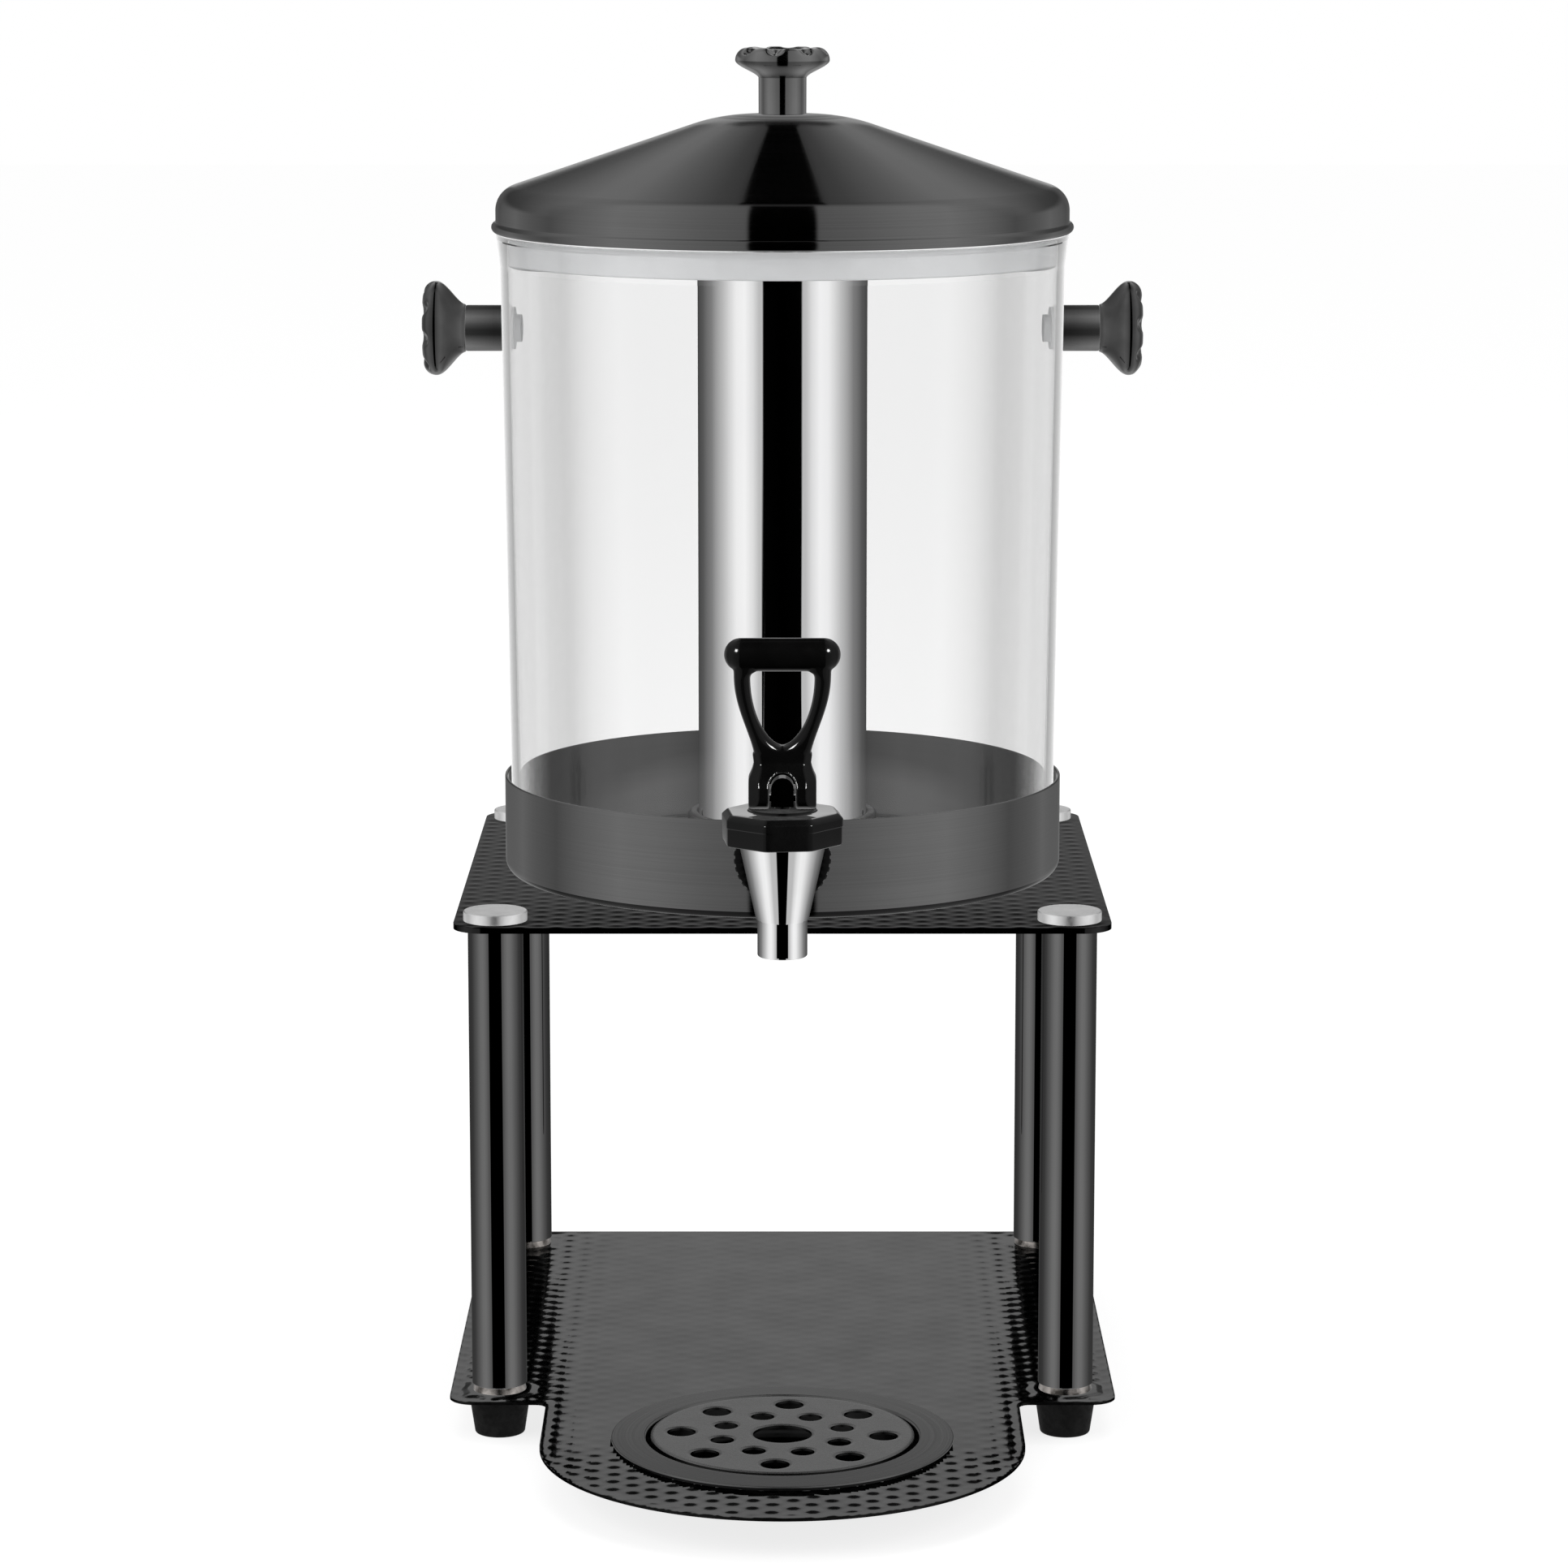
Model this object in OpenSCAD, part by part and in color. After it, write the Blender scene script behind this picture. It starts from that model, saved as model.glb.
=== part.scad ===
// Juice dispenser: a clear tank in a black steel pan, on a four-legged stand with a drip tray.
// Millimetres, +Z up. The origin is on the table, at the centre of the whole footprint.
// The tap faces -Y.

/* [Tank pan] */
// Outer diameter of the steel pan that holds the tank
pan_d = 225; // [205:1:245]
// Height of the pan
pan_h = 39; // [34:1:60]
// Sheet thickness of the pan
pan_wall = 1.2; // [0.8:0.1:2]
// Outer radius of the pan's bottom edge
pan_edge_r = 9; // [5:0.5:11]

/* [Container] */
// Height of the clear container
container_h = 256.3; // [200:1:320]
// Radial gap between the container's foot and the pan
container_gap = 1.8; // [1:0.1:3]
// Wall thickness of the container
container_wall = 3; // [2:0.5:5]
// Outward slope of the container's wall, in degrees
container_draft = 0.75; // [0:0.05:1.2]
// Outer radius of the container's bottom edge
container_edge_r = 10; // [8:0.5:14]
// Height of the thickened collar at the container's mouth
collar_h = 13; // [8:1:20]
// How far the collar stands out from the wall
collar_t = 1.4; // [0.6:0.1:3]

/* [Ice tube] */
// Outer diameter of the ice tube
tube_d = 68; // [50:1:80]
// Wall thickness of the ice tube
tube_wall = 1; // [0.6:0.1:2]
// Distance from the container's mouth down to the top of the ice tube
tube_drop = 10; // [6:1:40]
// Wall thickness of the socket that holds the ice tube
socket_wall = 4; // [3.6:0.1:6]
// Height of the socket
socket_h = 19.3; // [14:0.5:30]
// Thickness of the socket's floor
socket_floor_t = 3; // [2:0.5:5]
// Thickness of the round seal in the socket
seal_d = 2.2; // [1.6:0.1:2.4]

/* [Lid] */
// Sheet thickness of the lid
lid_t = 1; // [0.6:0.1:1.6]
// Slope of the lid's cone, in degrees
lid_slope = 18.7; // [8:0.1:24]
// Height from the rolled edge to the corner between the lid's side and cone
lid_skirt_h = 15.9; // [13:0.1:25]
// Radius of the lid's shoulder
lid_shoulder_r = 10; // [5:0.5:14]
// Radius of the curve between the lid's cone and its flat crown
lid_crown_r = 75; // [40:1:120]
// Diameter of the lid's flat crown, under the knob
lid_flat_d = 24; // [22:1:40]
// Diameter of the lid's rolled edge
bead_d = 4.2; // [3:0.1:6]
// How far the rolled edge stands out from the lid's side
bead_out = 1.7; // [0.5:0.1:2]
// How far the lid's seal reaches down into the container
seal_reach = 11; // [6:0.5:20]
// Wall thickness of the lid's seal
seal_wall = 2.6; // [1.5:0.1:3]

/* [Knobs] */
// Diameter of a knob's head
knob_d = 38; // [30:1:46]
// Thickness of a knob's head
knob_head_t = 7.8; // [6:0.1:10]
// Diameter of a knob's stem
knob_stem_d = 19; // [14:0.5:20]
// Radius of the hollow under a knob's head
knob_flare_r = 8; // [5:0.5:9]
// Number of petals on a knob's face
knob_petals = 8; // [6:1:12]
// Depth of the grooves between the petals
petal_groove = 1; // [0.5:0.1:2]
// Length of the lid knob's stem, up to the hollow
lid_stem_h = 9.5; // [6:0.5:16]
// Length of the stalk between the container and a side knob
stalk_len = 14.4; // [8:0.2:20]
// Distance from the container's mouth down to the side knobs
handle_drop = 38.3; // [30:0.1:80]

/* [Tap] */
// Distance from the pan's wall to the spout's axis
tap_reach = 55.5; // [46:0.5:70]
// Distance from the pan's rim down to the tap's shank
tap_drop = 13; // [12.8:0.1:15]
// Diameter of the threaded shank
shank_d = 18; // [14:0.5:18]
// Diameter of the passage through the shank
inlet_d = 9; // [6:0.5:10]
// Distance from the shank's axis down to the nozzle's end
nozzle_drop = 28.3; // [26:0.1:36]
// Length of the straight nozzle
nozzle_h = 13.8; // [8:0.1:16]
// Outer diameter of the nozzle
nozzle_d = 18.8; // [17:0.1:22]
// Diameter of the spout's outlet
outlet_d = 13; // [8:0.5:13]
// Diameter of the spout's cone at its top
cone_d = 32.8; // [30:0.1:38]
// Diameter of the valve chamber
chamber_d = 20; // [18:0.5:20.5]
// Height of the cone's top above the shank's axis
cone_rise = 15.2; // [13:0.1:20]
// Width of the octagonal bonnet across its flats
bonnet_w = 44; // [40:0.5:50]
// Height of the spout's neck inside the bonnet
neck_h = 8; // [6:0.5:12]
// Thickness of the bonnet's roof
bonnet_roof = 4; // [3:0.5:8]
// How far the bonnet was turned when it was tightened, in degrees
bonnet_turn = 6.5; // [0:0.5:22]
// Diameter of the round boss on the bonnet
boss_d = 25.5; // [20:0.5:30]
// Height of that boss
boss_h = 1; // [0.5:0.1:3]
// Diameter of the tap's round flange
flange_d = 37.4; // [30:0.2:40]
// Thickness of that flange
flange_t = 5; // [3:0.5:8]
// Diameter of the tap's gaskets
gasket_d = 25; // [22:0.5:25]
// Thickness of the gasket between the flange and the pan
gasket_t = 2; // [1.5:0.1:4]
// Width of the lock nut across its flats
lock_nut_w = 26; // [22:0.5:30]
// Thickness of the lock nut
lock_nut_t = 8; // [5:0.5:12]

/* [Valve and lever] */
// Diameter of the valve stem
stem_d = 6; // [5:0.1:7]
// Diameter of the soft seat cup
cup_d = 17; // [15.5:0.1:17.5]
// Thickness of the seat cup
cup_t = 4; // [3:0.1:6]
// Wire thickness of the spring
wire_d = 1.2; // [0.8:0.1:1.6]
// Mean diameter of the spring
spring_d = 12; // [9:0.5:15]
// Number of turns of the spring
spring_turns = 6; // [4:1:8]
// Width of the stem's tongue
tongue_w = 8.5; // [8:0.1:9]
// Thickness of the stem's tongue
tongue_t = 7; // [6:0.1:8]
// Diameter of the lever's pin
pin_d = 4; // [3:0.1:4.5]
// Height of the pin above the lever's foot
pin_rise = 6.5; // [6:0.1:8]
// Width of the lever's foot
foot_w = 25.4; // [22:0.2:30]
// Lift of the stem for each radian that the lever tilts
cam_lift = 4; // [3:0.1:5]
// How far the lever tilts, in degrees
lever_tilt = 50; // [30:1:60]
// Distance from the pin to the middle of the lever's crossbar
lever_len = 51.1; // [44:0.1:64]
// Length of the crossbar
bar_len = 43.5; // [38:0.5:56]
// Thickness of the crossbar
bar_d = 12.5; // [9:0.1:14]
// Thickness of the lever's loop, front to back
loop_t = 9; // [6:0.5:12]
// Width of the loop where it meets the crossbar
loop_w = 37.2; // [34:0.2:42]
// Width of the loop's side bars
loop_rail = 6.6; // [5:0.1:8]

/* [Stand] */
// How far the top plate reaches past the pan on each side
top_margin = 14.5; // [10:0.5:30]
// How far the base plate reaches past the top plate on each side
base_margin = 3; // [0:0.5:20]
// Distance from the top plate's edges to the legs' axes
leg_inset = 16; // [14:0.5:18]
// Thickness of both plates
plate_t = 2.5; // [1.5:0.1:4]
// Corner radius of the top plate
top_corner_r = 12; // [6:0.5:16]
// Corner radius of the base plate
base_corner_r = 10; // [6:0.5:16]
// Length of the legs
leg_len = 185; // [140:1:260]
// Outer diameter of the legs
leg_d = 21.4; // [18:0.1:24]
// Wall thickness of the legs
leg_wall = 1.2; // [0.8:0.1:2]
// Length of the threaded inserts in the legs
insert_len = 22; // [16:1:40]
// Diameter of the cap studs
stud_d = 8; // [6:0.5:10]
// Length of the stud below its cap
stud_len = 20; // [12:0.5:24]
// Diameter of the chrome caps
cap_d = 24.8; // [18:0.2:27]
// Height of the chrome caps
cap_h = 4; // [2.5:0.1:8]
// Height of the rubber feet
foot_h = 15; // [11:0.5:30]
// Diameter of the feet at the plate
foot_top_d = 24; // [20:0.5:28]
// Diameter of the feet at the table
foot_base_d = 19.4; // [15:0.2:24]
// Diameter of the feet's screws
foot_screw_d = 6; // [4:0.5:6]

/* [Drip tray] */
// How far the tray's centre lies in front of the spout
tray_lead = 11; // [0:0.5:15]
// Width of the tray's flange past the grille
tray_flange_w = 15; // [10:0.5:25]
// Height of the tray's flange above the plate, where it meets the grille
tray_lip_h = 2; // [1.7:0.1:4]
// Gap between the tray's underside and the table
tray_clear = 3; // [1.5:0.5:5]
// Wall thickness of the tray
tray_wall = 1.2; // [0.8:0.1:2]
// Width of the base plate beside the tray's flange
tray_side_margin = 27; // [10:0.5:27]
// Depth of the base plate in front of the tray's flange
tray_front_margin = 32; // [15:0.5:60]
// Diameter of the grille
grille_d = 100; // [90:1:120]
// Thickness of the grille
grille_t = 1.2; // [1:0.1:2]
// Diameter of the grille's middle hole
grille_mid_d = 22.5; // [10:0.5:26]
// Diameter of the grille's inner holes
grille_inner_d = 9; // [5:0.5:10]
// Diameter of the grille's outer holes
grille_outer_d = 11; // [6:0.5:11]
// Radius of the circle of inner holes
grille_inner_r = 24; // [20:0.5:26]
// Radius of the circle of outer holes
grille_outer_r = 38.5; // [36:0.5:39]
// Number of holes in each of those circles
grille_count = 8; // [6:1:8]
// How far the grille lies turned, in degrees
grille_turn = -4; // [-45:1:45]

/* [Hidden] */
$fn = 96;
// Sides of the wide rounds that cut thin pieces
wide_fn = 720;

// Clearances
fit = 0.05;
running = 0.3;
press = 0.02;
screw_room = 0.3;

// Fasteners inside the tank
knob_screw_d = 5;
knob_screw_head_d = 11;
knob_screw_head_t = 3;
knob_screw_grip = 11;
washer_d = 17;
washer_t = 1.5;

// Plan of the stand, worked out from the pan
pan_r = pan_d / 2;
top_w = pan_d + 2 * top_margin;
base_w = top_w + 2 * base_margin;
leg_half = top_w / 2 - leg_inset;
leg_r = leg_d / 2;
insert_r = leg_r - leg_wall - press;
tray_flange_r = grille_d / 2 + tray_flange_w;
tray_half = tray_flange_r + tray_side_margin;
tap_from_axis = pan_r + tap_reach;
tray_from_axis = tap_from_axis + tray_lead;
front_reach = tray_from_axis + tray_flange_r + tray_front_margin;
tank_y = (front_reach - base_w / 2) / 2;
tap_y = tank_y - tap_from_axis;
tray_y = tank_y - tray_from_axis;
notch_r = 4;

// Levels, from the table up
base_z0 = foot_h;
base_z1 = base_z0 + plate_t;
top_z0 = base_z1 + leg_len;
top_z1 = top_z0 + plate_t;
pan_z1 = top_z1 + pan_h;
floor_z0 = top_z1 + pan_wall;
floor_z1 = floor_z0 + container_wall;
rim_z = floor_z0 + container_h;
handle_z = rim_z - handle_drop;

// Radii of the container's wall at a level
container_r0 = pan_r - pan_wall - container_gap;
function outer_r(z) = container_r0 + (z - floor_z0 - container_edge_r) * tan(container_draft);
function inner_r(z) = outer_r(z) - container_wall;
rim_r = outer_r(rim_z) + collar_t;
mouth_r = inner_r(rim_z - seal_reach);

// Ice tube and its socket
tube_r = tube_d / 2;
tube_z0 = floor_z1 + socket_floor_t;
tube_z1 = rim_z - tube_drop;
socket_bore_r = tube_r + running;
socket_r = socket_bore_r + socket_wall;
seal_z = floor_z1 + socket_h * 0.7;
seal_r = tube_r + running + seal_d / 2 + fit;

// Lid
lid_r = rim_r + 0.25;
lid_z = rim_z + running;
lid_flat_r = lid_flat_d / 2;
bead_z = lid_z + bead_d / 2;
bead_ring_r = lid_r + bead_out - bead_d / 2;
lid_corner_z = lid_z + lid_skirt_h;
shoulder_z = lid_corner_z + lid_shoulder_r * tan(lid_slope) - lid_shoulder_r / cos(lid_slope);
cone_end_r = lid_flat_r + lid_crown_r * sin(lid_slope);
lid_top_z = lid_corner_z + (lid_r - cone_end_r) * tan(lid_slope) + lid_crown_r * (1 - cos(lid_slope));
seal_shelf_t = 3;

// Tap, from the shank's axis
shank_z = pan_z1 - tap_drop;
shank_r = shank_d / 2;
barrel_r = shank_r + 2;
nozzle_z0 = shank_z - nozzle_drop;
cone_z0 = nozzle_z0 + nozzle_h;
cone_step = 0.4;
seat_z = shank_z - inlet_d / 2 - 0.5;
cone_z1 = shank_z + cone_rise;
neck_z1 = cone_z1 + neck_h;
bonnet_z1 = neck_z1 + bonnet_roof;
boss_z1 = bonnet_z1 + boss_h;
flange_y1 = tank_y - pan_r - gasket_t;
flange_y0 = flange_y1 - flange_t;
wall_in_y = tank_y - inner_r(shank_z);
inner_gasket_t = 2;
lock_nut_y0 = wall_in_y + inner_gasket_t;
shank_y1 = lock_nut_y0 + lock_nut_t + 1.5;

// Valve
cup_z0 = seat_z + running;
cup_z1 = cup_z0 + cup_t;
plug_depth = cup_t * 0.6;
stem_collar_d = spring_d + 2;
stem_collar_t = 1.5;
spring_z0 = cup_z1 + stem_collar_t;
lever_foot_z = boss_z1 + running;
pin_z = lever_foot_z + pin_rise;
tongue_z0 = boss_z1 + 0.8;
slot_w = tongue_w + 1.5;
arch_z = 2.5;
pin_len = foot_w - 2;

// Points on an arc about (x, y)
function arc(x, y, r, a0, a1, n = 8) =
    [for (i = [0 : n]) let (a = a0 + (a1 - a0) * i / n) [x + r * cos(a), y + r * sin(a)]];

function backwards(points) = [for (i = [len(points) - 1 : -1 : 0]) points[i]];

// Places
module at_tank(z = 0) translate([0, tank_y, z]) children();
module at_tap(z = 0) translate([0, tap_y, z]) children();
module at_tray() translate([0, tray_y, 0]) children();
module at_leg(side, end, z) translate([side * leg_half, tank_y + end * leg_half, z]) children();
module at_legs(z) for (side = [-1, 1], end = [-1, 1]) at_leg(side, end, z) children();
module along_y(y, z) translate([0, y, z]) rotate([-90, 0, 0]) children();
module outwards(side, x, z) translate([side * x, tank_y, z]) rotate([0, side * 90, 0]) children();

module bored(h, r, hole_r) difference() {
    cylinder(h = h, r = r);
    translate([0, 0, -1]) cylinder(h = h + 2, r = hole_r);
}

// Stand

module rounded_square(w, r) {
    c = w / 2 - r;
    polygon(concat(arc(c, c, r, 0, 90), arc(-c, c, r, 90, 180),
        arc(-c, -c, r, 180, 270), arc(c, -c, r, 270, 360)));
}

// A square with rounded corners and a round-nosed tongue in front for the drip tray
module base_outline() {
    c = base_w / 2 - base_corner_r;
    front = -base_w / 2;
    nose = -front_reach + tray_half;
    polygon(concat(
        arc(c, c, base_corner_r, 0, 90), arc(-c, c, base_corner_r, 90, 180),
        arc(-c, -c, base_corner_r, 180, 270),
        arc(-tray_half - notch_r, front - notch_r, notch_r, 90, 0, 6),
        arc(0, nose, tray_half, 180, 360, 40),
        arc(tray_half + notch_r, front - notch_r, notch_r, 180, 90, 6),
        arc(c, -c, base_corner_r, 270, 360)));
}

module base_plate() color("#3a3b3d") difference() {
    at_tank(base_z0) linear_extrude(plate_t) base_outline();
    at_legs(base_z0 - 1) cylinder(h = plate_t + 2, d = foot_screw_d + 2 * screw_room);
    at_tray() translate([0, 0, base_z0 - 1]) cylinder(h = plate_t + 2, r = tray_bowl_r + running);
}

module top_plate() color("#3a3b3d") difference() {
    at_tank(top_z0) linear_extrude(plate_t) rounded_square(top_w, top_corner_r);
    at_legs(top_z0 - 1) cylinder(h = plate_t + 2, d = stud_d + 2 * screw_room);
}

module leg(side, end) color("#2b2b2d")
    at_leg(side, end, base_z1) bored(leg_len, leg_r, leg_r - leg_wall);
module leg_front_left() leg(-1, -1);
module leg_front_right() leg(1, -1);
module leg_rear_left() leg(-1, 1);
module leg_rear_right() leg(1, 1);

module leg_top_inserts() color("#8d9094")
    at_legs(top_z0 - insert_len) bored(insert_len, insert_r, stud_d / 2 + fit);
module leg_foot_inserts() color("#8d9094")
    at_legs(base_z1) bored(insert_len, insert_r, foot_screw_d / 2 + fit);

// A low chrome cap with its threaded stud
module cap(side, end) color("#c9ccd0") at_leg(side, end, top_z1) {
    edge_r = min(1.2, cap_h / 3);
    rotate_extrude() polygon(concat([[0, 0], [cap_d / 2, 0]],
        arc(cap_d / 2 - edge_r, cap_h - edge_r, edge_r, 0, 90, 5), [[0, cap_h]]));
    translate([0, 0, -stud_len]) cylinder(h = stud_len, d = stud_d);
}
module cap_front_left() cap(-1, -1);
module cap_front_right() cap(1, -1);
module cap_rear_left() cap(-1, 1);
module cap_rear_right() cap(1, 1);

foot_head_d = foot_screw_d + 4;
foot_head_t = 4;
foot_head_z = foot_h * 0.45;

// A tapered rubber foot with a recess for its screw
module foot(side, end) color("#1c1c1c") at_leg(side, end, 0) difference() {
    edge_r = 1;
    rotate_extrude() polygon(concat([[0, 0]],
        arc(foot_base_d / 2 - edge_r, edge_r, edge_r, -90, 0, 4),
        [[foot_top_d / 2, foot_h - edge_r], [foot_top_d / 2, foot_h], [0, foot_h]]));
    translate([0, 0, -1]) cylinder(h = foot_head_z + 1, d = foot_head_d + 1);
    translate([0, 0, -1]) cylinder(h = foot_h + 2, d = foot_screw_d + 2 * screw_room);
}
module foot_front_left() foot(-1, -1);
module foot_front_right() foot(1, -1);
module foot_rear_left() foot(-1, 1);
module foot_rear_right() foot(1, 1);

module foot_screws() color("#8d9094") at_legs(foot_head_z - foot_head_t) {
    cylinder(h = foot_head_t, d = foot_head_d);
    cylinder(h = base_z1 + insert_len * 0.7 - foot_head_z + foot_head_t, d = foot_screw_d);
}

// Drip tray

grille_gap = 0.8;
grille_ledge_w = 2.5;
grille_ledge_h = 1;
tray_bowl_r = grille_d / 2 - grille_ledge_w + tray_wall;
grille_z0 = base_z1 + grille_ledge_h;

// A round bowl that hangs in the base plate by its almost flat flange, whose edge stands clear of the plate
module drip_tray() color("#454648") at_tray() {
    edge_r = 4;
    overhang = 6;
    edge_t = 0.8;
    recess_r = grille_d / 2 + grille_gap;
    lip_z = base_z1 + tray_lip_h;
    edge_z = lip_z - tray_lip_h * 0.2;
    stand_r = tray_flange_r - overhang;
    rotate_extrude() polygon(concat([[0, tray_clear]],
        arc(tray_bowl_r - edge_r, tray_clear + edge_r, edge_r, -90, 0, 5),
        [[tray_bowl_r, base_z1], [stand_r, base_z1], [stand_r, edge_z - edge_t],
            [tray_flange_r, edge_z - edge_t], [tray_flange_r, edge_z], [recess_r, lip_z],
            [recess_r, grille_z0], [tray_bowl_r - tray_wall, grille_z0]],
        arc(tray_bowl_r - edge_r, tray_clear + edge_r, edge_r - tray_wall, 0, -90, 5),
        [[0, tray_clear + tray_wall]]));
}

module drip_grille() color("#77797c") at_tray() translate([0, 0, grille_z0])
    rotate([0, 0, grille_turn]) difference() {
        cylinder(h = grille_t, d = grille_d);
        translate([0, 0, -1]) cylinder(h = grille_t + 2, d = grille_mid_d);
        for (i = [0 : grille_count - 1]) rotate([0, 0, i * 360 / grille_count]) {
            translate([grille_outer_r, 0, -1]) cylinder(h = grille_t + 2, d = grille_outer_d);
            rotate([0, 0, 180 / grille_count]) translate([grille_inner_r, 0, -1])
                cylinder(h = grille_t + 2, d = grille_inner_d);
        }
    }

// Tank

module shank_hole(y0, y1) along_y(y0, shank_z) cylinder(h = y1 - y0, d = shank_d + 2 * screw_room);

module tank_pan() color("#303133") difference() {
    r = pan_r - pan_edge_r;
    at_tank(top_z1) rotate_extrude() polygon(concat([[0, 0]],
        arc(r, pan_edge_r, pan_edge_r, -90, 0), [[pan_r, pan_h], [pan_r - pan_wall, pan_h]],
        arc(r, pan_edge_r, pan_edge_r - pan_wall, 0, -90), [[0, pan_wall]]));
    shank_hole(tank_y - pan_r - 5, tank_y);
}

// Outline of the container's wall from its floor to a level, set off by a gap
function wall_outline(z1, off) = concat([[0, floor_z0 - off]],
    arc(container_r0 - container_edge_r, floor_z0 + container_edge_r, container_edge_r + off, -90, 0),
    [[outer_r(z1) + off, z1]]);

module container() color("#e8f0f2", 0.35) difference() {
    z0 = rim_z - collar_h;
    at_tank() rotate_extrude() polygon(concat(
        wall_outline(z0, 0),
        [[rim_r - collar_t * 0.2, rim_z - collar_h * 0.2], [rim_r, rim_z - collar_h * 0.15], [rim_r, rim_z]],
        backwards(wall_outline(rim_z, -container_wall))));
    shank_hole(tank_y - pan_r - 5, tank_y);
    for (side = [-1, 1]) outwards(side, inner_r(handle_z) - 5, handle_z)
        cylinder(h = container_wall + 10, d = knob_screw_d + 2 * screw_room);
}

// The space inside the container's wall, drawn in by a gap
module container_space(off) at_tank() rotate_extrude($fn = wide_fn)
    polygon(concat(wall_outline(rim_z, -container_wall - off), [[0, rim_z]]));

// The container's outside, swollen by a gap
module container_body(off) at_tank() rotate_extrude($fn = wide_fn)
    polygon(concat(wall_outline(rim_z - collar_h, off), [[0, rim_z - collar_h]]));

// A cup with a groove for its seal, bonded to the container's floor
module tube_socket() color("#3c3e40") at_tank() {
    groove_r = seal_r + seal_d / 2 + fit;
    groove_h = seal_d / 2 + fit;
    socket_z1 = floor_z1 + socket_h;
    rotate_extrude() polygon([[0, floor_z1], [socket_r, floor_z1], [socket_r, socket_z1 - 1],
        [socket_r - 1, socket_z1], [socket_bore_r, socket_z1], [socket_bore_r, seal_z + groove_h],
        [groove_r, seal_z + groove_h], [groove_r, seal_z - groove_h],
        [socket_bore_r, seal_z - groove_h], [socket_bore_r, tube_z0], [0, tube_z0]]);
}

module socket_seal() color("#1d1d1d") at_tank(seal_z)
    rotate_extrude() translate([seal_r, 0]) circle(d = seal_d, $fn = 32);

// A steel tube with a welded floor, open at the top for ice
module ice_tube() color("#d2d4d6") at_tank()
    rotate_extrude() polygon([[0, tube_z0], [tube_r, tube_z0], [tube_r, tube_z1],
        [tube_r - tube_wall, tube_z1], [tube_r - tube_wall, tube_z0 + tube_wall], [0, tube_z0 + tube_wall]]);

// Knobs

knob_r = knob_d / 2;
stem_r = knob_stem_d / 2;
head_edge_r = knob_head_t / 2;

// Total height of a knob whose stem is straight up to a height
function knob_h(stem_h) = stem_h + knob_flare_r + 1 + knob_head_t;

// A spool-shaped knob with petals round its face
module knob(stem_h) difference() {
    top = knob_h(stem_h);
    head_z = top - head_edge_r;
    groove_r = knob_r * 0.28;
    rotate_extrude() polygon(concat([[0, 0], [stem_r, 0]],
        arc(stem_r + knob_flare_r, stem_h, knob_flare_r, 180, 112),
        arc(knob_r - head_edge_r, head_z, head_edge_r, -90, 90, 12), [[0, top]]));
    for (i = [0 : knob_petals - 1]) rotate([0, 0, (i + 0.5) * 360 / knob_petals])
        translate([knob_r * 0.5, 0, top + groove_r - petal_groove * 0.25])
            rotate([0, 98, 0]) cylinder(h = knob_r, r = groove_r, $fn = 32);
    translate([0, 0, -1]) cylinder(h = knob_screw_grip + 2, d = knob_screw_d + 2 * fit);
}

module handle_stalk(side) color("#4b4c4e") difference() {
    x = outer_r(handle_z);
    outwards(side, x - 2, handle_z) bored(stalk_len + 2, stem_r - 0.3, knob_screw_d / 2 + screw_room);
    container_body(fit);
}
module handle_stalk_left() handle_stalk(-1);
module handle_stalk_right() handle_stalk(1);

module handle_knob(side) color("#18181a")
    outwards(side, outer_r(handle_z) + stalk_len, handle_z) knob(0);
module handle_knob_left() handle_knob(-1);
module handle_knob_right() handle_knob(1);

// Soft washers that follow the inside of the container's wall
module handle_washers() color("#232323") for (side = [-1, 1]) intersection() {
    outwards(side, inner_r(handle_z) - washer_t, handle_z)
        bored(washer_t + 2, washer_d / 2, knob_screw_d / 2 + screw_room);
    container_space(fit);
}

module knob_screw(grip) {
    translate([0, 0, -knob_screw_head_t]) cylinder(h = knob_screw_head_t, d = knob_screw_head_d);
    cylinder(h = grip, d = knob_screw_d);
}

module handle_screws() color("#b9bcc0") for (side = [-1, 1])
    outwards(side, inner_r(handle_z) - washer_t, handle_z)
        knob_screw(washer_t + container_wall + stalk_len + knob_screw_grip);

// Lid

// Outline of the lid from its crown to its rolled edge, set in by a thickness
function lid_outline(off) = concat([[0, lid_top_z - off]],
    arc(lid_flat_r, lid_top_z - lid_crown_r, lid_crown_r - off, 90, 90 - lid_slope, 6),
    arc(lid_r - lid_shoulder_r, shoulder_z, lid_shoulder_r - off, 90 - lid_slope, 0),
    [[lid_r - off, bead_z]]);

module lid_shell() color("#4e5053") at_tank() difference() {
    union() {
        rotate_extrude() polygon(concat(lid_outline(0), backwards(lid_outline(lid_t))));
        rotate_extrude() translate([bead_ring_r, bead_z]) circle(d = bead_d, $fn = 32);
    }
    translate([0, 0, lid_top_z - 5]) cylinder(h = 10, d = knob_screw_d + 2 * screw_room);
}

// A pale ring in the lid whose lower part plugs the container's mouth
module lid_seal() color("#dfe5e6", 0.7) at_tank() {
    plug_r = mouth_r - running - fit;
    seat_r = lid_r - lid_t - fit;
    shelf_z = bead_z + bead_d / 2 + fit;
    rotate_extrude() polygon([[plug_r - seal_wall, rim_z - seal_reach], [plug_r, rim_z - seal_reach],
        [plug_r, shelf_z], [seat_r, shelf_z], [seat_r, shelf_z + seal_shelf_t],
        [plug_r - seal_wall, shelf_z + seal_shelf_t]]);
}

module lid_knob() color("#18181a") at_tank(lid_top_z) knob(lid_stem_h);

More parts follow.
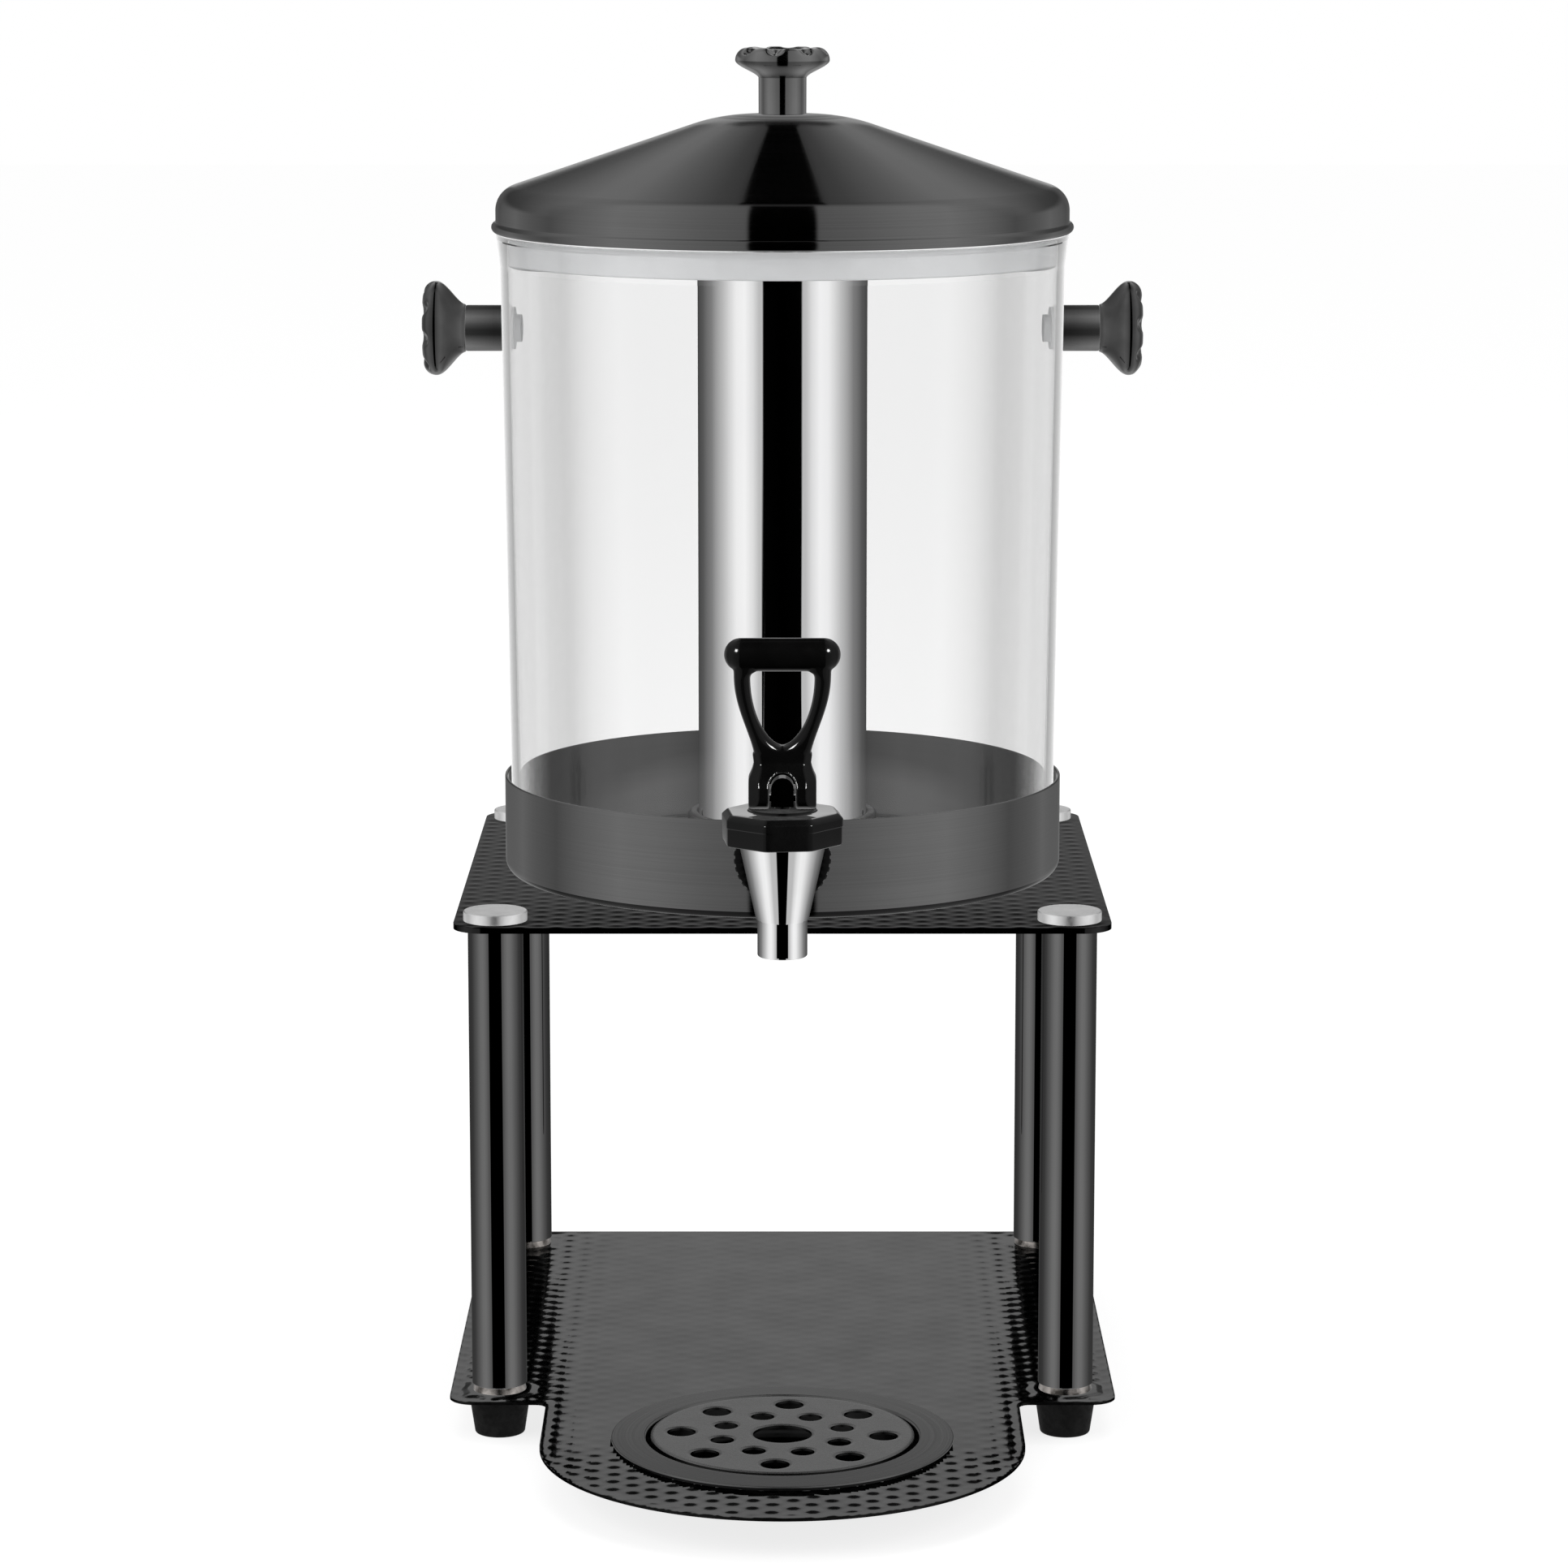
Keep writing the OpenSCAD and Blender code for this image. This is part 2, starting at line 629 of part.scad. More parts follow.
module lid_knob_washer() color("#b9bcc0") at_tank(lid_top_z - lid_t - washer_t)
    bored(washer_t, washer_d / 2, knob_screw_d / 2 + screw_room);

module lid_knob_screw() color("#b9bcc0") at_tank(lid_top_z - lid_t - washer_t)
    knob_screw(washer_t + lid_t + knob_screw_grip);

// Tap

// A cone on a straight nozzle, with the shank that carries it through the wall
module tap_spout() color("#cfd1d3") difference() {
    union() {
        at_tap() rotate_extrude() polygon([[0, nozzle_z0], [nozzle_d / 2 - 0.8, nozzle_z0],
            [nozzle_d / 2, nozzle_z0 + 0.8], [nozzle_d / 2, cone_z0], [nozzle_d / 2 + cone_step, cone_z0],
            [cone_d / 2, cone_z1], [cone_d / 2, neck_z1], [0, neck_z1]]);
        along_y(tap_y, shank_z) cylinder(h = flange_y0 - tap_y, r = barrel_r);
        along_y(tap_y, shank_z) cylinder(h = shank_y1 - tap_y, r = shank_r);
    }
    at_tap(seat_z) cylinder(h = neck_z1 - seat_z + 1, d = chamber_d);
    at_tap(nozzle_z0 - 1) cylinder(h = seat_z - nozzle_z0 + 2, d = outlet_d);
    along_y(tap_y, shank_z) cylinder(h = shank_y1 - tap_y + 1, d = inlet_d);
}

// A round flange with ribs round its edge
module tap_flange() color("#1a1a1b") along_y(flange_y0, shank_z) difference() {
    bored(flange_t, flange_d / 2, shank_r + fit);
    for (i = [0 : 35]) rotate([0, 0, i * 10]) translate([flange_d / 2 + 0.5, 0, 1])
        cylinder(h = flange_t, r = 1, $fn = 16);
}

module tap_outer_gasket() color("#222222") difference() {
    along_y(flange_y1, shank_z) bored(gasket_t + 4, gasket_d / 2, shank_r + fit);
    at_tank(top_z1) cylinder(h = pan_h + 20, r = pan_r + fit, $fn = wide_fn);
}

module tap_middle_gasket() color("#222222") difference() {
    intersection() {
        along_y(tank_y - pan_r, shank_z) bored(pan_wall + container_gap + 4, gasket_d / 2, shank_r + fit);
        at_tank(top_z1) cylinder(h = pan_h + 20, r = pan_r - pan_wall - fit, $fn = wide_fn);
    }
    container_body(fit);
}

module tap_inner_gasket() color("#222222") intersection() {
    along_y(wall_in_y - 3, shank_z) bored(inner_gasket_t + 3, gasket_d / 2, shank_r + fit);
    container_space(fit);
}

module tap_lock_nut() color("#b9bcc0") along_y(lock_nut_y0, shank_z) difference() {
    cylinder(h = lock_nut_t, d = lock_nut_w / cos(30), $fn = 6);
    translate([0, 0, -1]) cylinder(h = lock_nut_t + 2, r = shank_r + fit);
}

// An octagonal cap nut with a chamfered top and a round boss for the lever
module tap_bonnet() color("#1a1a1b") at_tap() rotate([0, 0, bonnet_turn]) difference() {
    bonnet_h = bonnet_z1 - cone_z1;
    corner_d = bonnet_w / cos(22.5);
    parting = 0.5;
    union() {
        intersection() {
            union() {
                translate([0, 0, cone_z1]) rotate([0, 0, 22.5])
                    cylinder(h = bonnet_h, d = corner_d - parting, $fn = 8);
                translate([0, 0, cone_z1 + bonnet_h * 0.6]) rotate([0, 0, 22.5])
                    cylinder(h = bonnet_h * 0.4, d = corner_d, $fn = 8);
            }
            translate([0, 0, cone_z1]) cylinder(h = bonnet_h, r1 = bonnet_w / 2 + bonnet_h + 0.4,
                r2 = bonnet_w / 2 + 0.4);
        }
        translate([0, 0, bonnet_z1]) cylinder(h = boss_h, d = boss_d);
    }
    translate([0, 0, cone_z1 - 1]) cylinder(h = neck_h + 1, d = cone_d + 2 * fit);
    translate([0, 0, neck_z1 - 1]) cylinder(h = bonnet_roof + boss_h + 2, d = stem_d + 2 * fit);
}

// A rod with a plug below, a collar for the spring and a tongue for the pin
module valve_stem() color("#1a1a1b") at_tap() difference() {
    union() {
        translate([0, 0, cup_z1 - plug_depth]) cylinder(h = plug_depth, d = stem_d - 1);
        translate([0, 0, cup_z1]) cylinder(h = stem_collar_t, d = stem_collar_d);
        translate([0, 0, cup_z1]) cylinder(h = pin_z - cup_z1, d = stem_d);
        translate([0, tongue_t / 2, 0]) rotate([90, 0, 0]) linear_extrude(tongue_t) {
            translate([-tongue_w / 2, tongue_z0]) square([tongue_w, pin_z + 0.8 - tongue_z0]);
            translate([0, pin_z + 0.8]) circle(d = tongue_w);
        }
    }
    translate([-tongue_w, 0, pin_z]) rotate([0, 90, 0]) cylinder(h = 2 * tongue_w, d = pin_d + 2 * fit);
}

module seat_cup() color("#e6e3dc") at_tap() difference() {
    edge = 1;
    rotate_extrude() polygon([[0, cup_z0], [cup_d / 2 - edge, cup_z0], [cup_d / 2, cup_z0 + edge],
        [cup_d / 2, cup_z1], [0, cup_z1]]);
    translate([0, 0, cup_z1 - plug_depth]) cylinder(h = plug_depth + 1, d = stem_d - 1 + 2 * fit);
}

// Spring: one wire wound as a helix between the stem's collar and the bonnet's roof
spring_steps = 14;
spring_sides = 6;
spring_rings = spring_turns * spring_steps;
spring_h = neck_z1 - spring_z0 - 2 * fit;
spring_pitch = (spring_h - wire_d) / spring_turns;
function spring_point(i, j) = let (a = 360 * i / spring_steps, b = 360 * j / spring_sides,
    r = spring_d / 2 + wire_d / 2 * cos(b))
    [r * cos(a), r * sin(a), wire_d / 2 * (1 + sin(b)) + spring_pitch * i / spring_steps];
function spring_at(i, j) = i * spring_sides + j % spring_sides;
echo(spring_gap = spring_pitch - wire_d);

module valve_spring() color("#b9bcc0") at_tap(spring_z0 + fit) polyhedron(
    points = [for (i = [0 : spring_rings], j = [0 : spring_sides - 1]) spring_point(i, j)],
    faces = concat(
        [for (i = [0 : spring_rings - 1], j = [0 : spring_sides - 1], half = [0, 1]) half == 0
            ? [spring_at(i, j), spring_at(i, j + 1), spring_at(i + 1, j)]
            : [spring_at(i, j + 1), spring_at(i + 1, j + 1), spring_at(i + 1, j)]],
        [for (j = [1 : spring_sides - 2]) [spring_at(0, 0), spring_at(0, j + 1), spring_at(0, j)]],
        [for (j = [1 : spring_sides - 2]) [spring_at(spring_rings, 0), spring_at(spring_rings, j),
            spring_at(spring_rings, j + 1)]]));

// Lever, drawn from its pin: x across, y to the back, z up

// The cam at the foot's front: an involute, so that the stem rises evenly as the lever tilts
function cam_point(a) = let (reach = pin_rise + cam_lift * a * PI / 180)
    [-reach * sin(a) - cam_lift * cos(a), -reach * cos(a) + cam_lift * sin(a)];

lever_back = 8;
shoulder_h = 5;
waist_h = 10.5;
waist_w = foot_w - 4;
bar_z0 = lever_len - bar_d / 2;
hole_top_w = loop_w - 2 * loop_rail;
hole_end_r = hole_top_w / 2 - 3.4;
hole_z0 = waist_h + 6;

// The lever from the side: a deep foot, then the loop's thin plate
module lever_side() {
    toe = cam_point(lever_tilt);
    polygon(concat([[lever_back, -pin_rise]],
        [for (i = [0 : 8]) cam_point(lever_tilt * i / 8)],
        [[toe[0], shoulder_h - 2], [-loop_t / 2, waist_h], [-loop_t / 2, lever_len],
            [loop_t / 2, lever_len], [loop_t / 2, waist_h], [lever_back, shoulder_h - 2]]));
}

// The lever from the front: foot, waist and loop
module lever_front() difference() {
    half = [[foot_w / 2, -pin_rise], [foot_w / 2, shoulder_h], [waist_w / 2, waist_h],
        [waist_w / 2 + 2.6, waist_h + 10], [loop_w / 2 - 1, bar_z0 - 9], [loop_w / 2, bar_z0 + 2]];
    polygon(concat(half, [for (p = backwards(half)) [-p[0], p[1]]]));
    polygon(concat(arc(0, hole_z0 + hole_end_r, hole_end_r, 190, 350, 12),
        arc(hole_top_w / 2 - 3, bar_z0 - 3, 3, 0, 90, 5),
        arc(-hole_top_w / 2 + 3, bar_z0 - 3, 3, 90, 180, 5)));
}

module lever_slot() {
    translate([-slot_w / 2, -30, -pin_rise - 1]) cube([slot_w, 60, pin_rise + 1 + arch_z]);
    translate([0, 30, arch_z]) rotate([90, 0, 0]) cylinder(h = 60, d = slot_w);
}

module tap_lever() color("#19191a") at_tap(pin_z) {
    ball_x = (bar_len - bar_d) / 2;
    difference() {
        intersection() {
            translate([-foot_w, 0, 0]) rotate([90, 0, 90]) linear_extrude(2 * foot_w) lever_side();
            translate([0, 30, 0]) rotate([90, 0, 0]) linear_extrude(60) lever_front();
        }
        lever_slot();
        translate([-foot_w, 0, 0]) rotate([0, 90, 0]) cylinder(h = 2 * foot_w, d = pin_d + 2 * fit);
    }
    translate([-ball_x, 0, lever_len]) rotate([0, 90, 0]) cylinder(h = 2 * ball_x, d = bar_d);
    for (side = [-1, 1]) translate([side * ball_x, 0, lever_len]) sphere(d = bar_d);
}

module lever_pin() color("#b9bcc0") at_tap(pin_z)
    translate([-pin_len / 2, 0, 0]) rotate([0, 90, 0]) cylinder(h = pin_len, d = pin_d);

base_plate();
top_plate();
leg_front_left();
leg_front_right();
leg_rear_left();
leg_rear_right();
leg_top_inserts();
leg_foot_inserts();
cap_front_left();
cap_front_right();
cap_rear_left();
cap_rear_right();
foot_front_left();
foot_front_right();
foot_rear_left();
foot_rear_right();
foot_screws();
drip_tray();
drip_grille();
tank_pan();
container();
tube_socket();
socket_seal();
ice_tube();
handle_stalk_left();
handle_stalk_right();
handle_knob_left();
handle_knob_right();
handle_washers();
handle_screws();
lid_shell();
lid_seal();
lid_knob();
lid_knob_washer();
lid_knob_screw();
tap_spout();
tap_flange();
tap_outer_gasket();
tap_middle_gasket();
tap_inner_gasket();
tap_lock_nut();
tap_bonnet();
valve_stem();
seat_cup();
valve_spring();
tap_lever();
lever_pin();
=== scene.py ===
# %% [markdown]
# # A juice dispenser
# A clear tank stands in a spun black pan on a four-legged hammered stand. A lever tap hangs over a drip tray.
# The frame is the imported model: its solids say where everything is, and stay what moves and collides.
# Each visible solid is drawn again here as a finer surface, and the hidden ones only get a finish.

# %% The fixed frame
import math

import bpy
import numpy as np
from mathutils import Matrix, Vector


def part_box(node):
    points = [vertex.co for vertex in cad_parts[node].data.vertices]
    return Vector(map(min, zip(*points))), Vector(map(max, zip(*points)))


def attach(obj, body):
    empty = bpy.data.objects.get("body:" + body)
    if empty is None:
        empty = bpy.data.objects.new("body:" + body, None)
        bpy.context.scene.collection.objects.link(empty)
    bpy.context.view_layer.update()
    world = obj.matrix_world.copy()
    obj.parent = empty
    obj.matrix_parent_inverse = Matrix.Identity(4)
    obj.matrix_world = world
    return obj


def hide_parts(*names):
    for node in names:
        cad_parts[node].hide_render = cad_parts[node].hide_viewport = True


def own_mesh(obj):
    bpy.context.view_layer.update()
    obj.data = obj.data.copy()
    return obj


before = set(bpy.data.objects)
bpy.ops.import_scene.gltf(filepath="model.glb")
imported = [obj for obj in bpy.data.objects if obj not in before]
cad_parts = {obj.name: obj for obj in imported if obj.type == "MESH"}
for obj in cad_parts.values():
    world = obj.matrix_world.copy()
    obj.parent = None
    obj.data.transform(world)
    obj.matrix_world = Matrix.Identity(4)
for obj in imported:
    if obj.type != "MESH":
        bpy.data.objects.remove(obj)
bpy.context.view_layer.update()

# %% [markdown]
# ## Camera
# The photograph is taken from in front, about two metres off, and looks a little down. A long lens at that
# distance keeps the uprights parallel, as they are there. No shift and no blur are needed.

# %% Camera
camera_data = bpy.data.cameras.new("camera")
camera_data.lens = 120.1
camera = bpy.data.objects.new("camera", camera_data)
camera.location = (0.0006, -2.021, 0.604)
camera.rotation_euler = (math.radians(90 - 9.89), 0, 0)
bpy.context.scene.collection.objects.link(camera)
bpy.context.scene.camera = camera
bpy.context.scene.view_settings.view_transform = "Standard"
print("camera:", camera_data.lens, "mm lens")

# %% [markdown]
# ## Turned surfaces
# Most of this object was spun, turned or moulded round an axis, so most of it is one kind of surface: an
# outline in radius and height, carried round a circle. A Spin or Screw modifier could do that too. Whole
# arrays are shorter, and they also allow a radius that changes on the way round.

# %% Places in millimetres
MM = 0.001


def place(node):
    """Lowest and highest corner of a solid, in millimetres."""
    low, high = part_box(node)
    return np.array(low) / MM, np.array(high) / MM


def half_width(node):
    """Half of a solid's width along X, in millimetres."""
    low, high = place(node)
    return (high[0] - low[0]) / 2


def middle(node):
    """Centre of a solid's box, in millimetres."""
    low, high = place(node)
    return (low + high) / 2


# %% Meshes from arrays
def new_piece(name, points, faces, corner_uv):
    """Points (n, 3) in millimetres, faces as arrays of corner numbers with one row to a face, and a UV for
    each corner become an object at the origin. Points that no face uses are left out."""
    corners = np.concatenate([face.ravel() for face in faces])
    sizes = np.concatenate([np.full(len(face), face.shape[1]) for face in faces])
    used, corners = np.unique(corners, return_inverse=True)
    mesh = bpy.data.meshes.new(name)
    mesh.vertices.add(len(used))
    mesh.vertices.foreach_set("co", (points[used] * MM).astype(np.float32).ravel())
    mesh.loops.add(len(corners))
    mesh.loops.foreach_set("vertex_index", corners.astype(np.int32).ravel())
    mesh.polygons.add(len(sizes))
    mesh.polygons.foreach_set("loop_start", (np.cumsum(sizes) - sizes).astype(np.int32))
    mesh.update(calc_edges=True)
    mesh.uv_layers.new(name="UVMap").data.foreach_set("uv", corner_uv.astype(np.float32).ravel())
    mesh.validate()
    mesh.shade_smooth()
    mesh.set_sharp_from_angle(angle=math.radians(30))
    piece = bpy.data.objects.new(name, mesh)
    bpy.context.scene.collection.objects.link(piece)
    print(name, len(mesh.polygons), "faces")
    return piece


# %% Skins over grids
def skin(name, grid, ring=False):
    """A skin over a grid of points with rows along an outline and columns round an axis. Rows of one single
    point become poles with triangles. With ring, the last row joins the first. U runs round the axis from 0
    to 1, and V is the length along the outline in units of 100 mm."""
    rows, around = grid.shape[:2]
    number = np.arange(rows * around).reshape(rows, around)
    pole = np.ptp(grid, axis=1).max(axis=1) < 1e-6
    number[pole] = number[pole][:, :1]
    bands = rows if ring else rows - 1
    i, j = np.meshgrid(np.arange(bands), np.arange(around), indexing="ij")
    up, on = (i + 1) % rows, (j + 1) % around
    quads = np.stack([number[i, j], number[i, on], number[up, on], number[up, j]], axis=-1)
    run = np.linalg.norm(np.diff(grid, axis=0, append=grid[:1]), axis=-1).max(axis=1)
    v = np.concatenate([[0], np.cumsum(run)]) / 100
    u = np.arange(around + 1) / around
    uv = np.stack([np.stack([u[j + a], v[i + b]], -1) for a, b in ((0, 0), (1, 0), (1, 1), (0, 1))], axis=2)
    low, high = pole[i], pole[up]
    picks = [(~low & ~high, [0, 1, 2, 3]), (low & ~high, [0, 2, 3]), (~low & high, [0, 1, 2])]
    faces = [quads[mask][:, order] for mask, order in picks]
    corner_uv = np.concatenate([uv[mask][:, order].reshape(-1, 2) for mask, order in picks])
    return new_piece(name, grid.reshape(-1, 3), faces, corner_uv)


# %% Outlines with eased corners
def eased(corners, ring=False, steps=8, guard=0.25):
    """An outline from corners (r, z, easing radius). A corner whose path turns by an angle is replaced by an
    arc that leaves the straight at radius times the tangent of half that angle. A guard point on each
    straight, just before its arc, keeps the straight flat when it is shaded smooth."""
    corners = np.array(corners, float)
    point, radius = corners[:, :2], corners[:, 2]
    into = point - np.roll(point, 1, axis=0)
    length = np.linalg.norm(into, axis=1)
    into = into / np.maximum(length, 1e-9)[:, None]
    out = np.roll(into, -1, axis=0)
    turn = np.arctan2(into[:, 0] * out[:, 1] - into[:, 1] * out[:, 0], (into * out).sum(axis=1))
    cut = radius * np.tan(np.abs(turn) / 2)
    side = np.stack([-into[:, 1], into[:, 0]], axis=1) * np.sign(turn)[:, None]
    centre = point - into * cut[:, None] + side * radius[:, None]
    angle = turn[:, None] * np.linspace(0, 1, steps + 1)
    arm = -side * radius[:, None]
    swing = np.stack([arm[:, :1] * np.cos(angle) - arm[:, 1:] * np.sin(angle),
                      arm[:, :1] * np.sin(angle) + arm[:, 1:] * np.cos(angle)], axis=-1)
    arc = centre[:, None] + swing
    lead = np.minimum(guard, (length - cut - np.roll(cut, 1)) / 3)
    before = arc[:, :1] - (into * lead[:, None])[:, None]
    after = arc[:, -1:] + (out * np.roll(lead, -1)[:, None])[:, None]
    path = np.concatenate([before, arc, after], axis=1).reshape(-1, 2)
    path = path if ring else path[1:-1]
    fresh = np.linalg.norm(np.diff(path, axis=0, prepend=path[:1] - 1), axis=1) > 1e-6
    return path[fresh]


# %% Turned surfaces, and turned ones laid down
def circle_of(around):
    """Angles of the columns round an axis, from the back, so that the seam lies behind."""
    return np.pi / 2 + 2 * np.pi * np.arange(around) / around


def turned(outline, around=128, centre=(0, 0)):
    """Each outline point (r, z) becomes the circle (r cos t, r sin t, z) about the centre. An outline that
    goes out, up and back in faces outwards."""
    t = circle_of(around)
    r, z = outline[:, :1], outline[:, 1:]
    return np.stack([centre[0] + r * np.cos(t), centre[1] + r * np.sin(t), z + 0 * t], axis=-1)


def along_x(grid, side, x, y, z):
    """A grid turned about Z is laid along X, towards the given side, and set at (x, y, z)."""
    laid = np.roll(grid, 1, axis=-1) * np.array([side, side, 1])
    return laid + np.array([x, y, z])


def along_y(grid, y, z):
    """A grid turned about Z is laid along Y and set at (0, y, z)."""
    return np.roll(grid, -1, axis=-1) + np.array([0, y, z])


# %% Changes worked into a mesh
def settled(piece):
    """The piece with its modifiers worked into its mesh."""
    bpy.context.view_layer.update()
    seen = piece.evaluated_get(bpy.context.evaluated_depsgraph_get())
    mesh = bpy.data.meshes.new_from_object(seen)
    piece.modifiers.clear()
    piece.data = mesh
    return piece


def combined(piece, other, operation):
    """The piece joined with, or cut by, another closed piece, which is then thrown away."""
    change = piece.modifiers.new("combine", "BOOLEAN")
    change.object = other
    change.operation = operation
    change.solver = "EXACT"
    settled(piece)
    bpy.data.objects.remove(other)
    piece.data.shade_smooth()
    piece.data.set_sharp_from_angle(angle=math.radians(30))
    return piece


# %% Axes
tank_x, tank_y = middle("tank_pan")[:2]
tap_y = middle("lever_pin")[1]
tray_y = middle("drip_grille")[1]
print("axes at y:", round(tank_y, 1), round(tap_y, 1), round(tray_y, 1), "mm")

# %% [markdown]
# ## How a finish is written
# Every finish is a Principled surface. A number that is the same all over sits on the shader's own socket,
# and only what varies, such as brushing, grain or haze, comes through nodes, and on a few finishes painted
# light and shade too. Most finishes here are grained: one noise moves the roughness a little and another one
# the colour. The patterns read Object coordinates in metres, or the piece's UV map where the pattern has to run
# round the piece.

# %% Nodes
def tone(value):
    """A colour as it is, or one number as a neutral grey."""
    return value if isinstance(value, tuple) else (value, value, value)


def step(tree, kind, *inputs, **settings):
    """One node. A number is set on its socket, and another node's output is linked to it."""
    made = tree.nodes.new(kind)
    for key, value in settings.items():
        setattr(made, key, value)
    for socket, value in zip(made.inputs, inputs):
        if isinstance(value, bpy.types.NodeSocket):
            tree.links.new(value, socket)
        elif value is not None:
            socket.default_value = value
    return made.outputs[0]


def ramp(tree, value, *stops):
    """A colour ramp over a value, from (position, colour) stops."""
    made = tree.nodes.new("ShaderNodeValToRGB")
    line = made.color_ramp.elements
    while len(line) < len(stops):
        line.new(0.5)
    for stop, (position, colour) in zip(line, stops):
        stop.position = position
        stop.color = (*tone(colour), 1)
    tree.links.new(value, made.inputs[0])
    return made.outputs[0]


def grain(tree, scale, stretch=(1, 1, 1), detail=3.0, source="Object"):
    """Noise between 0 and 1, with features of about one over scale, drawn out along an axis by stretch."""
    where = tree.nodes.new("ShaderNodeTexCoord").outputs[source]
    if stretch != (1, 1, 1):
        where = step(tree, "ShaderNodeMapping", where, None, None, stretch)
    return step(tree, "ShaderNodeTexNoise", where, None, scale, detail)


# %% Finishes
def new_finish(name, colour, metallic, roughness, edge=1.0, **more):
    """A Principled surface with its constant numbers set directly. The edge tint holds back a metal's shine
    at a slant."""
    finish = bpy.data.materials.new(name)
    finish.use_nodes = True
    shader = finish.node_tree.nodes["Principled BSDF"]
    shader.inputs["Base Color"].default_value = (*tone(colour), 1)
    shader.inputs["Metallic"].default_value = metallic
    shader.inputs["Roughness"].default_value = roughness
    shader.inputs["Specular Tint"].default_value = (*tone(edge), 1)
    for key, value in more.items():
        shader.inputs[key.replace("_", " ")].default_value = value
    return finish, finish.node_tree, shader


def spread(tree, socket, value, low, high):
    """Noise mapped to a range and put on a socket."""
    tree.links.new(step(tree, "ShaderNodeMapRange", value, 0.3, 0.7, low, high), socket)


def shades(tree, socket, value, *stops):
    """A colour ramp put on a socket."""
    tree.links.new(ramp(tree, value, *stops), socket)


def grained(name, metallic, rough, shade, edge=1.0, stops=(0.3, 0.7), **more):
    """A finish whose roughness and colour vary with noise. Both are (noise scale, low, high), and may go on
    with the noise's stretch, detail and source."""
    finish, tree, shader = new_finish(name, shade[1], metallic, rough[1], edge, **more)
    spread(tree, shader.inputs["Roughness"], grain(tree, rough[0], *rough[3:]), rough[1], rough[2])
    shades(tree, shader.inputs["Base Color"], grain(tree, shade[0], *shade[3:]), *zip(stops, shade[1:3]))
    return finish


def painted_light_along(finish, axis, low, high, *stops):
    """Painted light and shade: the finish's colour taken from one Object coordinate, between low and high in
    millimetres.
    """
    tree = finish.node_tree
    split = tree.nodes.new("ShaderNodeSeparateXYZ")
    tree.links.new(tree.nodes.new("ShaderNodeTexCoord").outputs["Object"], split.inputs[0])
    share = step(tree, "ShaderNodeMapRange", split.outputs[axis], low * MM, high * MM, 0.0, 1.0)
    shades(tree, tree.nodes["Principled BSDF"].inputs["Base Color"], share, *stops)


def relief(finish, depth, strength, scale, *how):
    """A bump of noise with its depth in metres, on top of the finish."""
    tree = finish.node_tree
    bump = tree.nodes.new("ShaderNodeBump")
    bump.inputs["Strength"].default_value = strength
    bump.inputs["Distance"].default_value = depth
    tree.links.new(grain(tree, scale, *how), bump.inputs["Height"])
    tree.links.new(bump.outputs[0], tree.nodes["Principled BSDF"].inputs["Normal"])


# %% Dressing a piece
def dress(piece, finish, body, slot, *nodes):
    """A new piece gets its finish, rides on its body and stands for its solids."""
    piece.data.materials.clear()
    piece.data.materials.append(finish)
    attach(piece, body)
    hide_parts(*nodes)
    return piece


def faces_of(piece):
    """Middle in millimetres and outward normal of every face."""
    found = []
    for key in ("center", "normal"):
        values = np.empty(3 * len(piece.data.polygons))
        piece.data.polygons.foreach_get(key, values)
        found.append(values.reshape(-1, 3))
    return found[0] / MM, found[1]


def reline(piece, finish, chosen):
    """One more finish, on the chosen faces."""
    slots = np.empty(len(piece.data.polygons), np.int32)
    piece.data.polygons.foreach_get("material_index", slots)
    slots[chosen] = len(piece.data.materials)
    piece.data.materials.append(finish)
    piece.data.polygons.foreach_set("material_index", slots)
    piece.data.update()
    print(piece.name, int(np.sum(chosen)), "faces in", finish.name)
